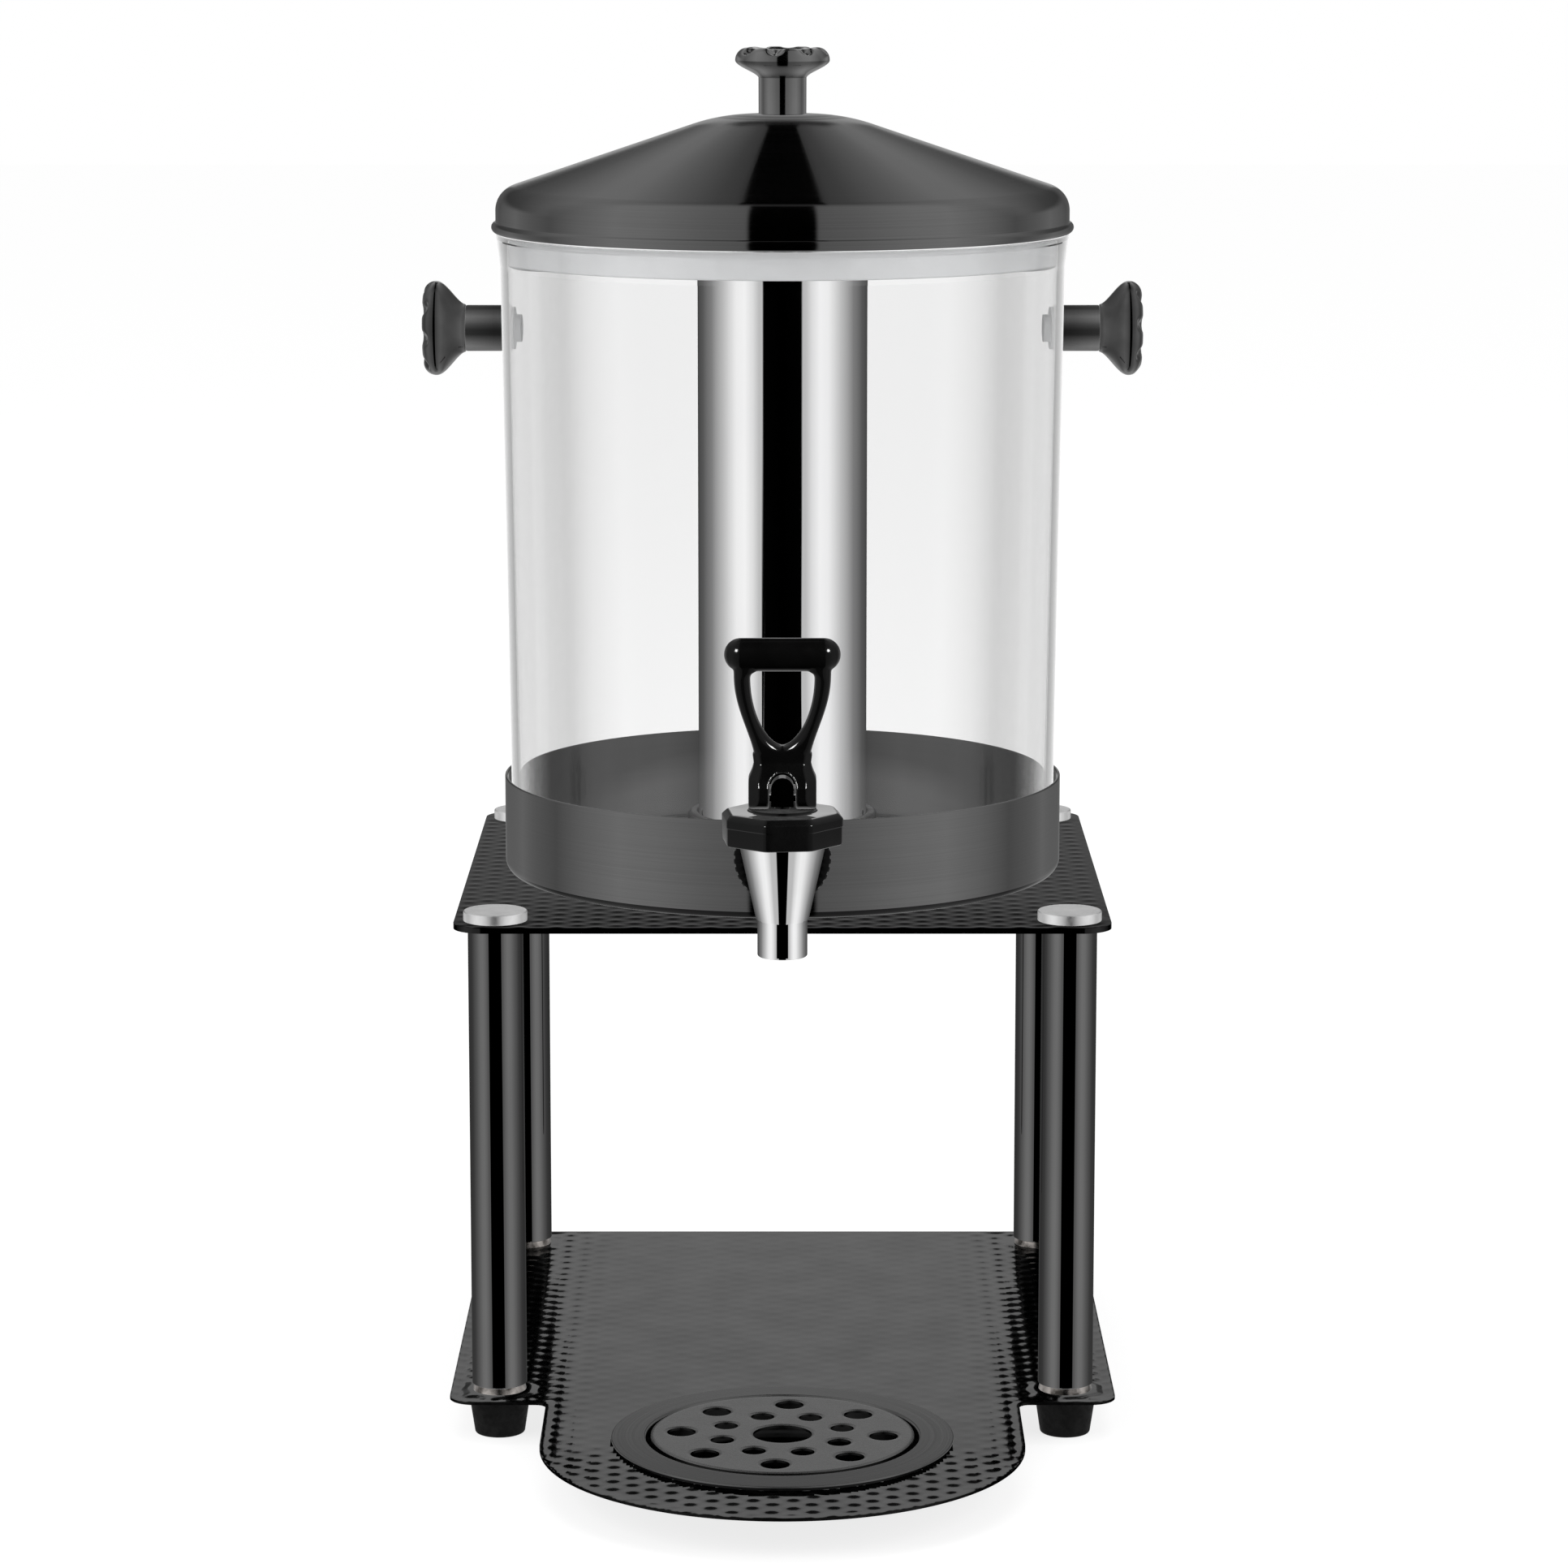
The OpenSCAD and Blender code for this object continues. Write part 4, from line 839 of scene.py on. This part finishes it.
def saddle(r):
    """Distance from the tank's axis to the container's wall, at radius r and angle t about the stalk."""
    y = r * np.cos(t)
    return np.sqrt(wall_r(knob_z + r * np.sin(t)) ** 2 - y ** 2) + 0.05


for node, side in [("handle_stalk_left", -1), ("handle_stalk_right", 1)]:
    low, high = place(node)
    end = high[0] if side > 0 else -low[0]
    rows = [(screw_r, saddle(screw_r)), (5.0, saddle(5.0)), (8.9, saddle(8.9)),
            (stalk_r, saddle(stalk_r) + 0.3), (stalk_r, end - 0.5 + 0 * t), (9.0, end - 0.1 + 0 * t),
            (8.7, end + 0 * t), (screw_r, end + 0 * t)]
    stalk_grid = np.stack([np.stack([r * np.cos(t), r * np.sin(t), x], axis=-1) for r, x in rows])
    stalk = skin(node + "_tube", along_x(stalk_grid, side, 0, tank_y, knob_z), ring=True)
    dress(stalk, stalk_painted_reflection, "tank", "black_satin", node)

# %% [markdown]
# ## Tap
# The spout is a chromed cone on a straight nozzle, and its shank runs back through the wall. The bonnet is an
# octagonal plastic nut: its plan is a power mean of four directions, which is an octagon with slightly round
# corners. Its top gets a shinier, coated copy of the black plastic at the left and right as a painted sheen,
# and the dull rubber finish where the lever stands over it, as a painted reflection of the lever's dark foot.
# The flange behind has shallow ribs round its edge.

# %% Spout
spout_chrome = grained("spout_chrome", 1, (120, 0.0005, 0.0035), (50, 0.87, (0.93, 0.93, 0.94)))
spout_low, spout_high = place("tap_spout")
nozzle = spout_low[2]
cone_r, flow_r = 16.4, 6.5
spout_outline = eased([(flow_r, nozzle, 0.3), (9.4, nozzle, 0.8), (9.4, nozzle + 13.8, 0.15),
                       (9.9, nozzle + 14.3, 0.3), (cone_r, nozzle + 43.5, 0.6), (cone_r, nozzle + 51.5, 0.3),
                       (10, nozzle + 51.5, 0.3), (10, shank_z - 5, 0.3), (flow_r, shank_z - 5, 0.4)],
                      ring=True)
spout = skin("tap_spout_cone", turned(spout_outline, 128, (0, tap_y)), ring=True)
flange_y = place("tap_flange")[0][1]
shank_outline = eased([(4.5, tap_y + 9.6, 0), (11, tap_y + 9.6, 0), (11, flange_y, 0.2), (9, flange_y, 0),
                       (9, spout_high[1], 0.6), (4.5, spout_high[1], 0.3)], ring=True)
shank = skin("shank", along_y(turned(shank_outline, 96), 0, shank_z), ring=True)
combined(spout, shank, "UNION")
dress(spout, spout_chrome, "tank", "chrome", "tap_spout")

# %% Bonnet
bonnet_low, bonnet_high = place("tap_bonnet")
bonnet_t = circle_of(240)


def octagon(half):
    """Radius of an octagon with the given half width, its corners eased by a power mean."""
    fold = bonnet_t - math.radians(6.5)
    flats = np.abs(np.cos(fold[:, None] - np.arange(4) * np.pi / 4))
    return half * (flats ** 70).sum(axis=1) ** (-1 / 70)


roof = bonnet_high[2] - 1
skirt = bonnet_low[2]
rows = [(3.05, skirt + 8, 0), (16.45, skirt + 8, 0), (16.45, skirt, 0), (0, skirt, 21.0),
        (0, skirt + 0.3, 21.5), (0, skirt + 1.0, 21.75), (0, skirt + 6.9, 21.75), (0, skirt + 7.2, 22),
        (0, roof - 2.3, 22), (0, roof - 2.0, 21.9), (0, roof - 0.5, 20.4), (0, roof - 0.15, 19.9),
        (0, roof, 19.2), (14.0, roof, 0), (13.2, roof + 0.05, 0), (12.75, roof + 0.4, 0),
        (12.7, roof + 0.85, 0), (12.5, roof + 1, 0), (3.05, roof + 1, 0)]
bonnet_rows = []
for r, z, half in rows:
    radius = octagon(half) if half else np.full(240, r)
    ring = [radius * np.cos(bonnet_t), tap_y + radius * np.sin(bonnet_t), np.full(240, z)]
    bonnet_rows.append(np.stack(ring, axis=-1))
bonnet = skin("tap_bonnet_nut", np.stack(bonnet_rows), ring=True)
dress(bonnet, gloss_black, "tank", "black_gloss", "tap_bonnet")
spots, normals = faces_of(bonnet)
upward, at_corner = normals[:, 2] > 0.9, np.abs(spots[:, 0]) > 11
# Painted sheen at the top's left and right, and painted reflection of the lever's dark foot in front with the
# dull rubber finish.
reline(bonnet, gloss_painted_sheen, upward & at_corner)
reline(bonnet, black_rubber, upward & ~at_corner)

# %% Flange
flange_t = circle_of(432)
rib = 0.3 * smooth_step(np.cos(36 * flange_t), -0.2, 0.7)
flange_r = half_width("tap_flange")
flange_rows = [(9.05, 0, 0), (flange_r - 1.2, 0, 0), (flange_r - 0.5, 0.2, 0.3), (flange_r, 0.8, 1),
               (flange_r, 4.2, 1), (flange_r - 0.5, 4.9, 0.5), (flange_r - 1.2, 5, 0), (9.05, 5, 0)]
flange_grid = np.stack([np.stack([(r - share * rib) * np.cos(flange_t), (r - share * rib) * np.sin(flange_t),
                                  np.full(432, y)], axis=-1) for r, y, share in flange_rows])
flange = skin("tap_flange_ribbed", along_y(flange_grid, flange_y, shank_z), ring=True)
dress(flange, gloss_black, "tank", "black_gloss", "tap_flange")

# %% [markdown]
# ## Lever
# The lever is one moulding: a forked foot with chamfered cheeks, a loop for two fingers and a thick round
# crossbar. Three simple closed surfaces are joined, and the fork's slot is cut out of them. A voxel remesh
# then gives one even skin, and a little smoothing the soft inner corners that a mould leaves.

# %% Lever loop
pin_z = middle("lever_pin")[2]
lever_at = np.array([0, tap_y, pin_z])


def section(half_across, half_deep, power, n):
    """A closed rounded section: signed powers of cosine and sine, between a circle and a box."""
    a = 2 * np.pi * np.arange(n) / n
    across = np.sign(np.cos(a)) * np.abs(np.cos(a)) ** power
    deep = np.sign(np.sin(a)) * np.abs(np.sin(a)) ** power
    return half_across[:, None] * across, half_deep[:, None] * deep


def capped(grid):
    """The grid with its first and last rows drawn together to a point."""
    ends = grid.mean(axis=1, keepdims=True) + 0 * grid
    return np.concatenate([ends[:1], grid, ends[-1:]])


s = np.linspace(-1, 1, 241)
swing = np.clip(np.abs(s) / 0.8, 0, 1) * np.pi / 2
rise = np.clip((np.abs(s) - 0.8) / 0.2, 0, 1)
corner = np.clip(rise / 0.31, 0, 1)
inner_x = 11.95 * np.sin(swing) ** 1.2 - 2.5 * (1 - np.sqrt(1 - corner ** 2))
inner_z = 42.4 - 25.5 * np.cos(swing) + 8.0 * rise
marks = [0, 0.35, 0.65, 0.9, 1.1, 1.3, 1.45, np.pi / 2]
outer_x = np.interp(swing, marks, [0, 6.0, 10.2, 11.6, 13.5, 15.9, 17.3, 18.1]) + 0.2 * rise
outer_z = np.interp(swing, marks, [9.5, 10.0, 12.5, 18.0, 23.2, 29.8, 34.8, 39.5]) + 10.9 * rise
blur = np.hanning(25) / np.hanning(25).sum()
outer_x[12:-12] = np.convolve(np.sign(s) * outer_x, blur, "valid") * np.sign(s[12:-12])
outer_z[12:-12] = np.convolve(outer_z, blur, "valid")
span = np.stack([np.sign(s) * (outer_x - inner_x), outer_z - inner_z], axis=1)
half = np.linalg.norm(span, axis=1) / 2
span = span / (2 * half)[:, None]
across, deep = section(half, np.full(241, 4.5), 0.72, 48)
loop_x = (np.sign(s) * (inner_x + outer_x) / 2)[:, None] + across * span[:, :1]
loop_z = ((inner_z + outer_z) / 2)[:, None] + across * span[:, 1:]
loop_grid = capped(np.stack([loop_x, deep, loop_z], axis=-1))
lever = skin("tap_lever_moulded", loop_grid[:, ::-1] + lever_at)

# %% Lever crossbar and foot
bar_half = np.cos(np.linspace(np.pi / 2, 0.15, 12))
bar_s = np.concatenate([[-1], -bar_half[::-1], bar_half, [1]])
bar_x = np.sign(bar_s) * 15.5 + 6.25 * bar_s
bar_r = 6.25 * np.sqrt(np.maximum(1 - bar_s ** 2, 0))
bar_grid = turned(np.stack([bar_r, bar_x], axis=1), 48)
bar = skin("bar", along_x(bar_grid, 1, 0, tap_y, pin_z + 51.1))

levels = np.array([-6.5, -6.3, -5.9, -4.8, -3.4, -1.5, 2.0, 4.6, 8.0, 10.5, 14.0])
front = np.interp(levels, [-6.5, -5.9, -4.8, -3.4, 2.6, 10.5, 14], [4.0, 6.8, 8.9, 10.2, 10.2, 4.5, 4.5])
back = np.interp(levels, [-6.5, 2.6, 10.5, 14], [8.0, 8.0, 4.5, 4.5])
wide = np.interp(levels, [-6.5, -6.3, -5.9, 4.6, 8.0, 10.5, 14], [12.2, 12.55, 12.7, 12.7, 11.3, 10.7, 11.2])
bevel = np.interp(levels, [-6.5, -5.2, -3.0, 6.0, 10.5, 14], [1.0, 1.4, 3.8, 3.6, 2.4, 2.4])
plan_x = np.stack([wide - bevel, wide, wide, wide - bevel, bevel - wide, -wide, -wide, bevel - wide], axis=1)
cheek, heel = bevel - front, back - bevel * 0.5
plan_y = np.stack([-front, cheek, heel, back, back, heel, cheek, -front], axis=1)
yoke_grid = capped(np.stack([plan_x, plan_y, np.repeat(levels[:, None], 8, axis=1)], axis=-1))
yoke = skin("yoke", yoke_grid + lever_at)

# %% Lever, one skin
def voxel_skin(piece, size):
    """One skin round everything in the piece, from cubes of the given size in metres."""
    change = piece.modifiers.new("remesh", "REMESH")
    change.mode = "VOXEL"
    change.voxel_size = size
    change.use_smooth_shade = True
    return settled(piece)


combined(lever, bar, "UNION")
combined(lever, yoke, "UNION")
arch_t = np.radians(np.linspace(0, 180, 17))
vault = np.stack([5 * np.cos(arch_t), 2.5 + 5 * np.sin(arch_t)], axis=1)
arch = np.concatenate([[(5, -9)], vault, [(-5, -9)]])
slot_grid = np.stack([np.stack([arch[:, 0], np.full(19, y), arch[:, 1]], axis=-1) for y in (20.0, -20.0)])
slot_cut = skin("slot", capped(slot_grid) + lever_at)
combined(lever, slot_cut, "DIFFERENCE")
voxel_skin(lever, 0.0004)
soften = lever.modifiers.new("soften", "SMOOTH")
soften.factor = 0.5
soften.iterations = 10
settled(lever)
print("lever", len(lever.data.polygons), "faces")
dress(lever, gloss_black, "lever", "black_gloss", "tap_lever")

# %% [markdown]
# ## Pieces that are mostly hidden
# Screws, inserts, gaskets and the valve keep their solids, whose shapes are already right. They still get
# real finishes, because they show through the clear wall, or when the tap is worked. The side handles' screws
# and washers are pale, so that they hardly show in the wall.

# %% Hidden pieces
plain_steel = grained("plain_steel", 1, (600, 0.22, 0.4), (150, 0.5, 0.62))
white_silicone = grained("white_silicone", 0, (500, 0.42, 0.6), (90, (0.72, 0.71, 0.69), (0.8, 0.79, 0.77)))
kept = {plain_steel: ["leg_top_inserts", "leg_foot_inserts", "foot_screws", "lid_knob_washer",
                      "lid_knob_screw", "tap_lock_nut", "lever_pin"],
        frosted: ["handle_screws", "handle_washers"],
        black_rubber: ["socket_seal", "tap_outer_gasket", "tap_middle_gasket", "tap_inner_gasket"],
        gloss_black: ["valve_stem"],
        white_silicone: ["seat_cup"]}
for finish, nodes in kept.items():
    for node in nodes:
        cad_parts[node].data.materials.clear()
        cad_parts[node].data.materials.append(finish)
print("solids that keep their shape:", sum(len(nodes) for nodes in kept.values()))

# %% [markdown]
# ## Return spring
# The spring is round wire wound into a helix: a small circle carried along a spiral. A rigid helix would cut
# into the valve when the stem rises.

# %% Spring
spring_low, spring_high = place("valve_spring")
spring_x, spring_y = middle("valve_spring")[:2]
coil_r, coils = 6.0, 6
wire_r = (spring_high[0] - spring_low[0]) / 2 - coil_r
wound = np.linspace(0, 2 * np.pi * coils, 40 * coils + 1)[:, None]
round_wire = 2 * np.pi * np.arange(12) / 12
from_axis = coil_r + wire_r * np.cos(round_wire)
climb = (spring_high[2] - spring_low[2] - 2 * wire_r) * wound / wound[-1]
spring_grid = np.stack([spring_x + from_axis * np.cos(wound), spring_y + from_axis * np.sin(wound),
                        spring_low[2] + wire_r + climb - wire_r * np.sin(round_wire)], axis=-1)
spring = skin("valve_spring_wound", capped(spring_grid))
dress(spring, plain_steel, "tank", "plain_steel", "valve_spring")
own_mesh(spring)

# %% [markdown]
# ## Studio
# The object stands on a pale floor under three large soft lamps that give even light, and that the metal
# doesn't mirror.

# %% Floor and lamps
def sheet_floor(half):
    """One flat square at the table's height, far wider than the view."""
    corners = np.array([(-half, -half, 0), (half, -half, 0), (half, half, 0), (-half, half, 0)], float)
    return new_piece("floor", corners, [np.array([[0, 1, 2, 3]])], corners[:, :2])


floor = sheet_floor(9000.0)
pale = new_finish("pale_floor", 0.25, 0, 0.9, Specular_IOR_Level=0.0, Emission_Color=(1, 1, 1, 1),
                  Emission_Strength=0.8)[0]
floor.data.materials.append(pale)


def soft_lamp(name, power, size, where, aim):
    """A square area lamp that looks at a point and isn't mirrored in the metal."""
    lamp = bpy.data.lights.new(name, "AREA")
    lamp.energy = power
    lamp.size = size
    held = bpy.data.objects.new(name, lamp)
    held.location = where
    towards = np.array(aim) - np.array(where)
    flat = math.hypot(towards[0], towards[1])
    held.rotation_euler = (math.pi / 2 + math.atan2(towards[2], flat), 0, math.atan2(-towards[0], towards[1]))
    held.visible_glossy = False
    held.visible_camera = False
    bpy.context.scene.collection.objects.link(held)
    return held


soft_lamp("lamp_left", 30, 1.4, (-1.8, -1.4, 1.7), (0, 0.05, 0.25))
soft_lamp("lamp_right", 22, 1.4, (1.8, -1.2, 1.5), (0, 0.05, 0.25))
soft_lamp("lamp_above", 18, 1.6, (0, 0.2, 2.4), (0, 0.07, 0.2))

# %% [markdown]
# ## What the metal mirrors
# In the photograph the metal shows a tidy studio and hardly any of the object's own pieces, apart from the
# rear legs in the base plate. So all other pieces are left out of mirrors. Black plastic needs small bright
# lamps to show its edges, and the plates, tray and grille a wide, weak one so that they aren't black from
# behind. Each of these lamps is linked to its own pieces, so that it changes nothing else.

# %% What the metal doesn't mirror
solid_pieces = [piece for piece in bpy.context.scene.objects if piece.type == "MESH"]
for piece in solid_pieces:
    piece.visible_glossy = piece.name.startswith("leg_tube_rear")
print("pieces that mirrors leave out:", sum(not piece.visible_glossy for piece in solid_pieces))


def glint(name, power, size, where, aim, pieces):
    """A small bright lamp that is mirrored, but shines on the given pieces only."""
    lamp = soft_lamp(name, power, size, where, aim)
    lamp.visible_glossy = True
    lit_only = bpy.data.collections.new(name)
    for piece in pieces:
        lit_only.objects.link(piece)
    lamp.light_linking.receiver_collection = lit_only


glint("glint_left", 60, 0.4, (-0.75, -1.1, 1.15), (0, -0.09, 0.28), [lever, bonnet])
glint("glint_right", 60, 0.4, (0.75, -1.1, 1.15), (0, -0.09, 0.28), [lever, bonnet])
glint("panel_low", 8, 2.0, (0, -2.4, 1.0), (0, 0.07, 0.1), [base_plate, top_plate, tray, grille])

# %% [markdown]
# ## The room that the metal sees
# An image of a studio could light the metal. Here the world's nodes work the studio out from the direction of
# each ray: bright panels at the sides, a dark gap straight ahead of each upright piece, and a plain wall far
# behind. Sharp mirrors, satin metal and the tube inside the clear wall don't see the same panels. Only
# reflected rays meet them. The camera, and rays through the clear wall, see white.

# %% The ray's direction
world = bpy.data.worlds.new("studio")
bpy.context.scene.world = world
world.use_nodes = True
room = world.node_tree


def sums(operation, a, b=None, c=None):
    """One line of arithmetic on the ray's direction."""
    return step(room, "ShaderNodeMath", a, b, c, operation=operation)


def between(value, low, high, start, end, kind="LINEAR"):
    """A value mapped from one range to another and held at its ends."""
    return step(room, "ShaderNodeMapRange", value, low, high, start, end, interpolation_type=kind)


direction = room.nodes.new("ShaderNodeTexCoord").outputs["Generated"]
split = room.nodes.new("ShaderNodeSeparateXYZ")
room.links.new(direction, split.inputs[0])
ray_x, ray_y, ray_z = split.outputs
aside = sums("ABSOLUTE", ray_x)
turn = sums("MULTIPLY", sums("ARCTAN2", aside, sums("SUBTRACT", 1.0, ray_y)), 2 / math.pi)


def panels(*stops, by=turn):
    """Brightness of the room by the reflected ray's angle from straight ahead, as (degrees, value) stops. That
    angle is twice the one by which the mirror faces aside."""
    return ramp(room, by, *[(angle / 180, value) for angle, value in stops])


# %% Kinds of ray
path = room.nodes.new("ShaderNodeLightPath")
sharp = sums("MULTIPLY", path.outputs["Is Singular Ray"], path.outputs["Is Reflection Ray"])
inside = between(path.outputs["Transmission Depth"], 1.0, 2.0, 0.0, 1.0)
steep = between(ray_z, -0.4, -0.35, 1.0, 0.0)
low = between(ray_z, -0.195, -0.19, 1.0, 0.0)
backward = between(ray_y, 0.2, 0.5, 0.0, 1.0)
raised = sums("MULTIPLY", between(ray_z, 0.1, 0.2, 0.0, 1.0), backward)


def panelled(gap, lights):
    """Panels that leave a dark gap straight ahead. The gap is a share of 180 degrees to each side."""
    edge = between(sums("SUBTRACT", turn, gap), 0.0, 0.012, 0.0, 1.0, "SMOOTHSTEP")
    return sums("MULTIPLY", edge, lights)


def either(choice, first, second):
    """The first value where the choice is 0, and the second where it is 1."""
    return step(room, "ShaderNodeMix", choice, None, first, second)


# %% Panels
far_turn = sums("MAXIMUM", turn, between(ray_y, 0.6, 0.9, 0.0, 0.8))
by_the_wall = panels((0, 0.5), (32, 0.55), (40, 0.78), (52, 0.97), (65, 0.92), (87, 0.54), (112, 0.22),
                     (137, 0.1), (180, 0.03), by=far_turn)
upright = panelled(between(steep, 0.0, 1.0, 25.5 / 180, 15 / 180), by_the_wall)
upright = either(backward, upright, by_the_wall)
rounded = panels((0, 0.5), (13, 0.52), (30, 0.64), (53, 0.88), (70, 0.97), (88, 0.74), (106, 0.43),
                 (121, 0.58), (134, 0.75), (157, 0.24), (180, 0.07), by=far_turn)
rounded = either(backward, panelled(12.5 / 180, rounded), rounded)
above = panels((0, 0.2), (20, 0.24), (31, 0.3), (40, 0.4), (50, 0.52), (63, 0.68), (80, 0.81), (97, 0.76),
               (114, 0.54), (132, 0.3), (145, 0.19), (155, 0.12), (180, 0.08))
above = panelled(between(ray_y, 0.78, 0.95, 18 / 180, 40 / 180), above)
glassy = panels((0, 0.0), (60, 0.05), (85, 0.4), (105, 0.05), (126, 0.1), (138, 0.95), (150, 1.2), (165, 1.2),
                (180, 0.6))
behind = sums("MULTIPLY", between(aside, 0.09, 0.11, 1.0, 0.0), between(ray_y, 0.82, 0.86, 0.0, 1.0))
behind = sums("MULTIPLY", behind, between(ray_z, -0.15, -0.11, 0.0, 1.0))
far_wall = sums("MULTIPLY", between(ray_z, 0.1, 0.25, 0.49, 0.79), between(ray_z, 0.38, 0.42, 1.0, 0.05))
satin = either(behind, either(raised, either(inside, rounded, upright), above), far_wall)
clear = either(low, glassy, upright)
mirrored = either(sharp, satin, clear)
print("panels made of", len(room.nodes), "nodes")

# %% Which rays meet the panels
passed = path.outputs["Is Transmission Ray"]
plain = between(sums("MAXIMUM", path.outputs["Is Camera Ray"], passed), 0.0, 1.0, 0.75, 1.0)
glossy = sums("MULTIPLY", path.outputs["Is Glossy Ray"], sums("SUBTRACT", 1.0, passed))
polished = sums("MINIMUM", sums("MAXIMUM", path.outputs["Glossy Depth"], glossy), 1.0)
polished = sums("MULTIPLY", polished, between(path.outputs["Diffuse Depth"], 0.0, 1.0, 1.0, 0.0))
strength = either(polished, plain, mirrored)
room.links.new(strength, room.nodes["Background"].inputs["Strength"])
room.nodes["Background"].inputs["Color"].default_value = (1, 1, 1, 1)
print("room:", len(room.nodes), "nodes")
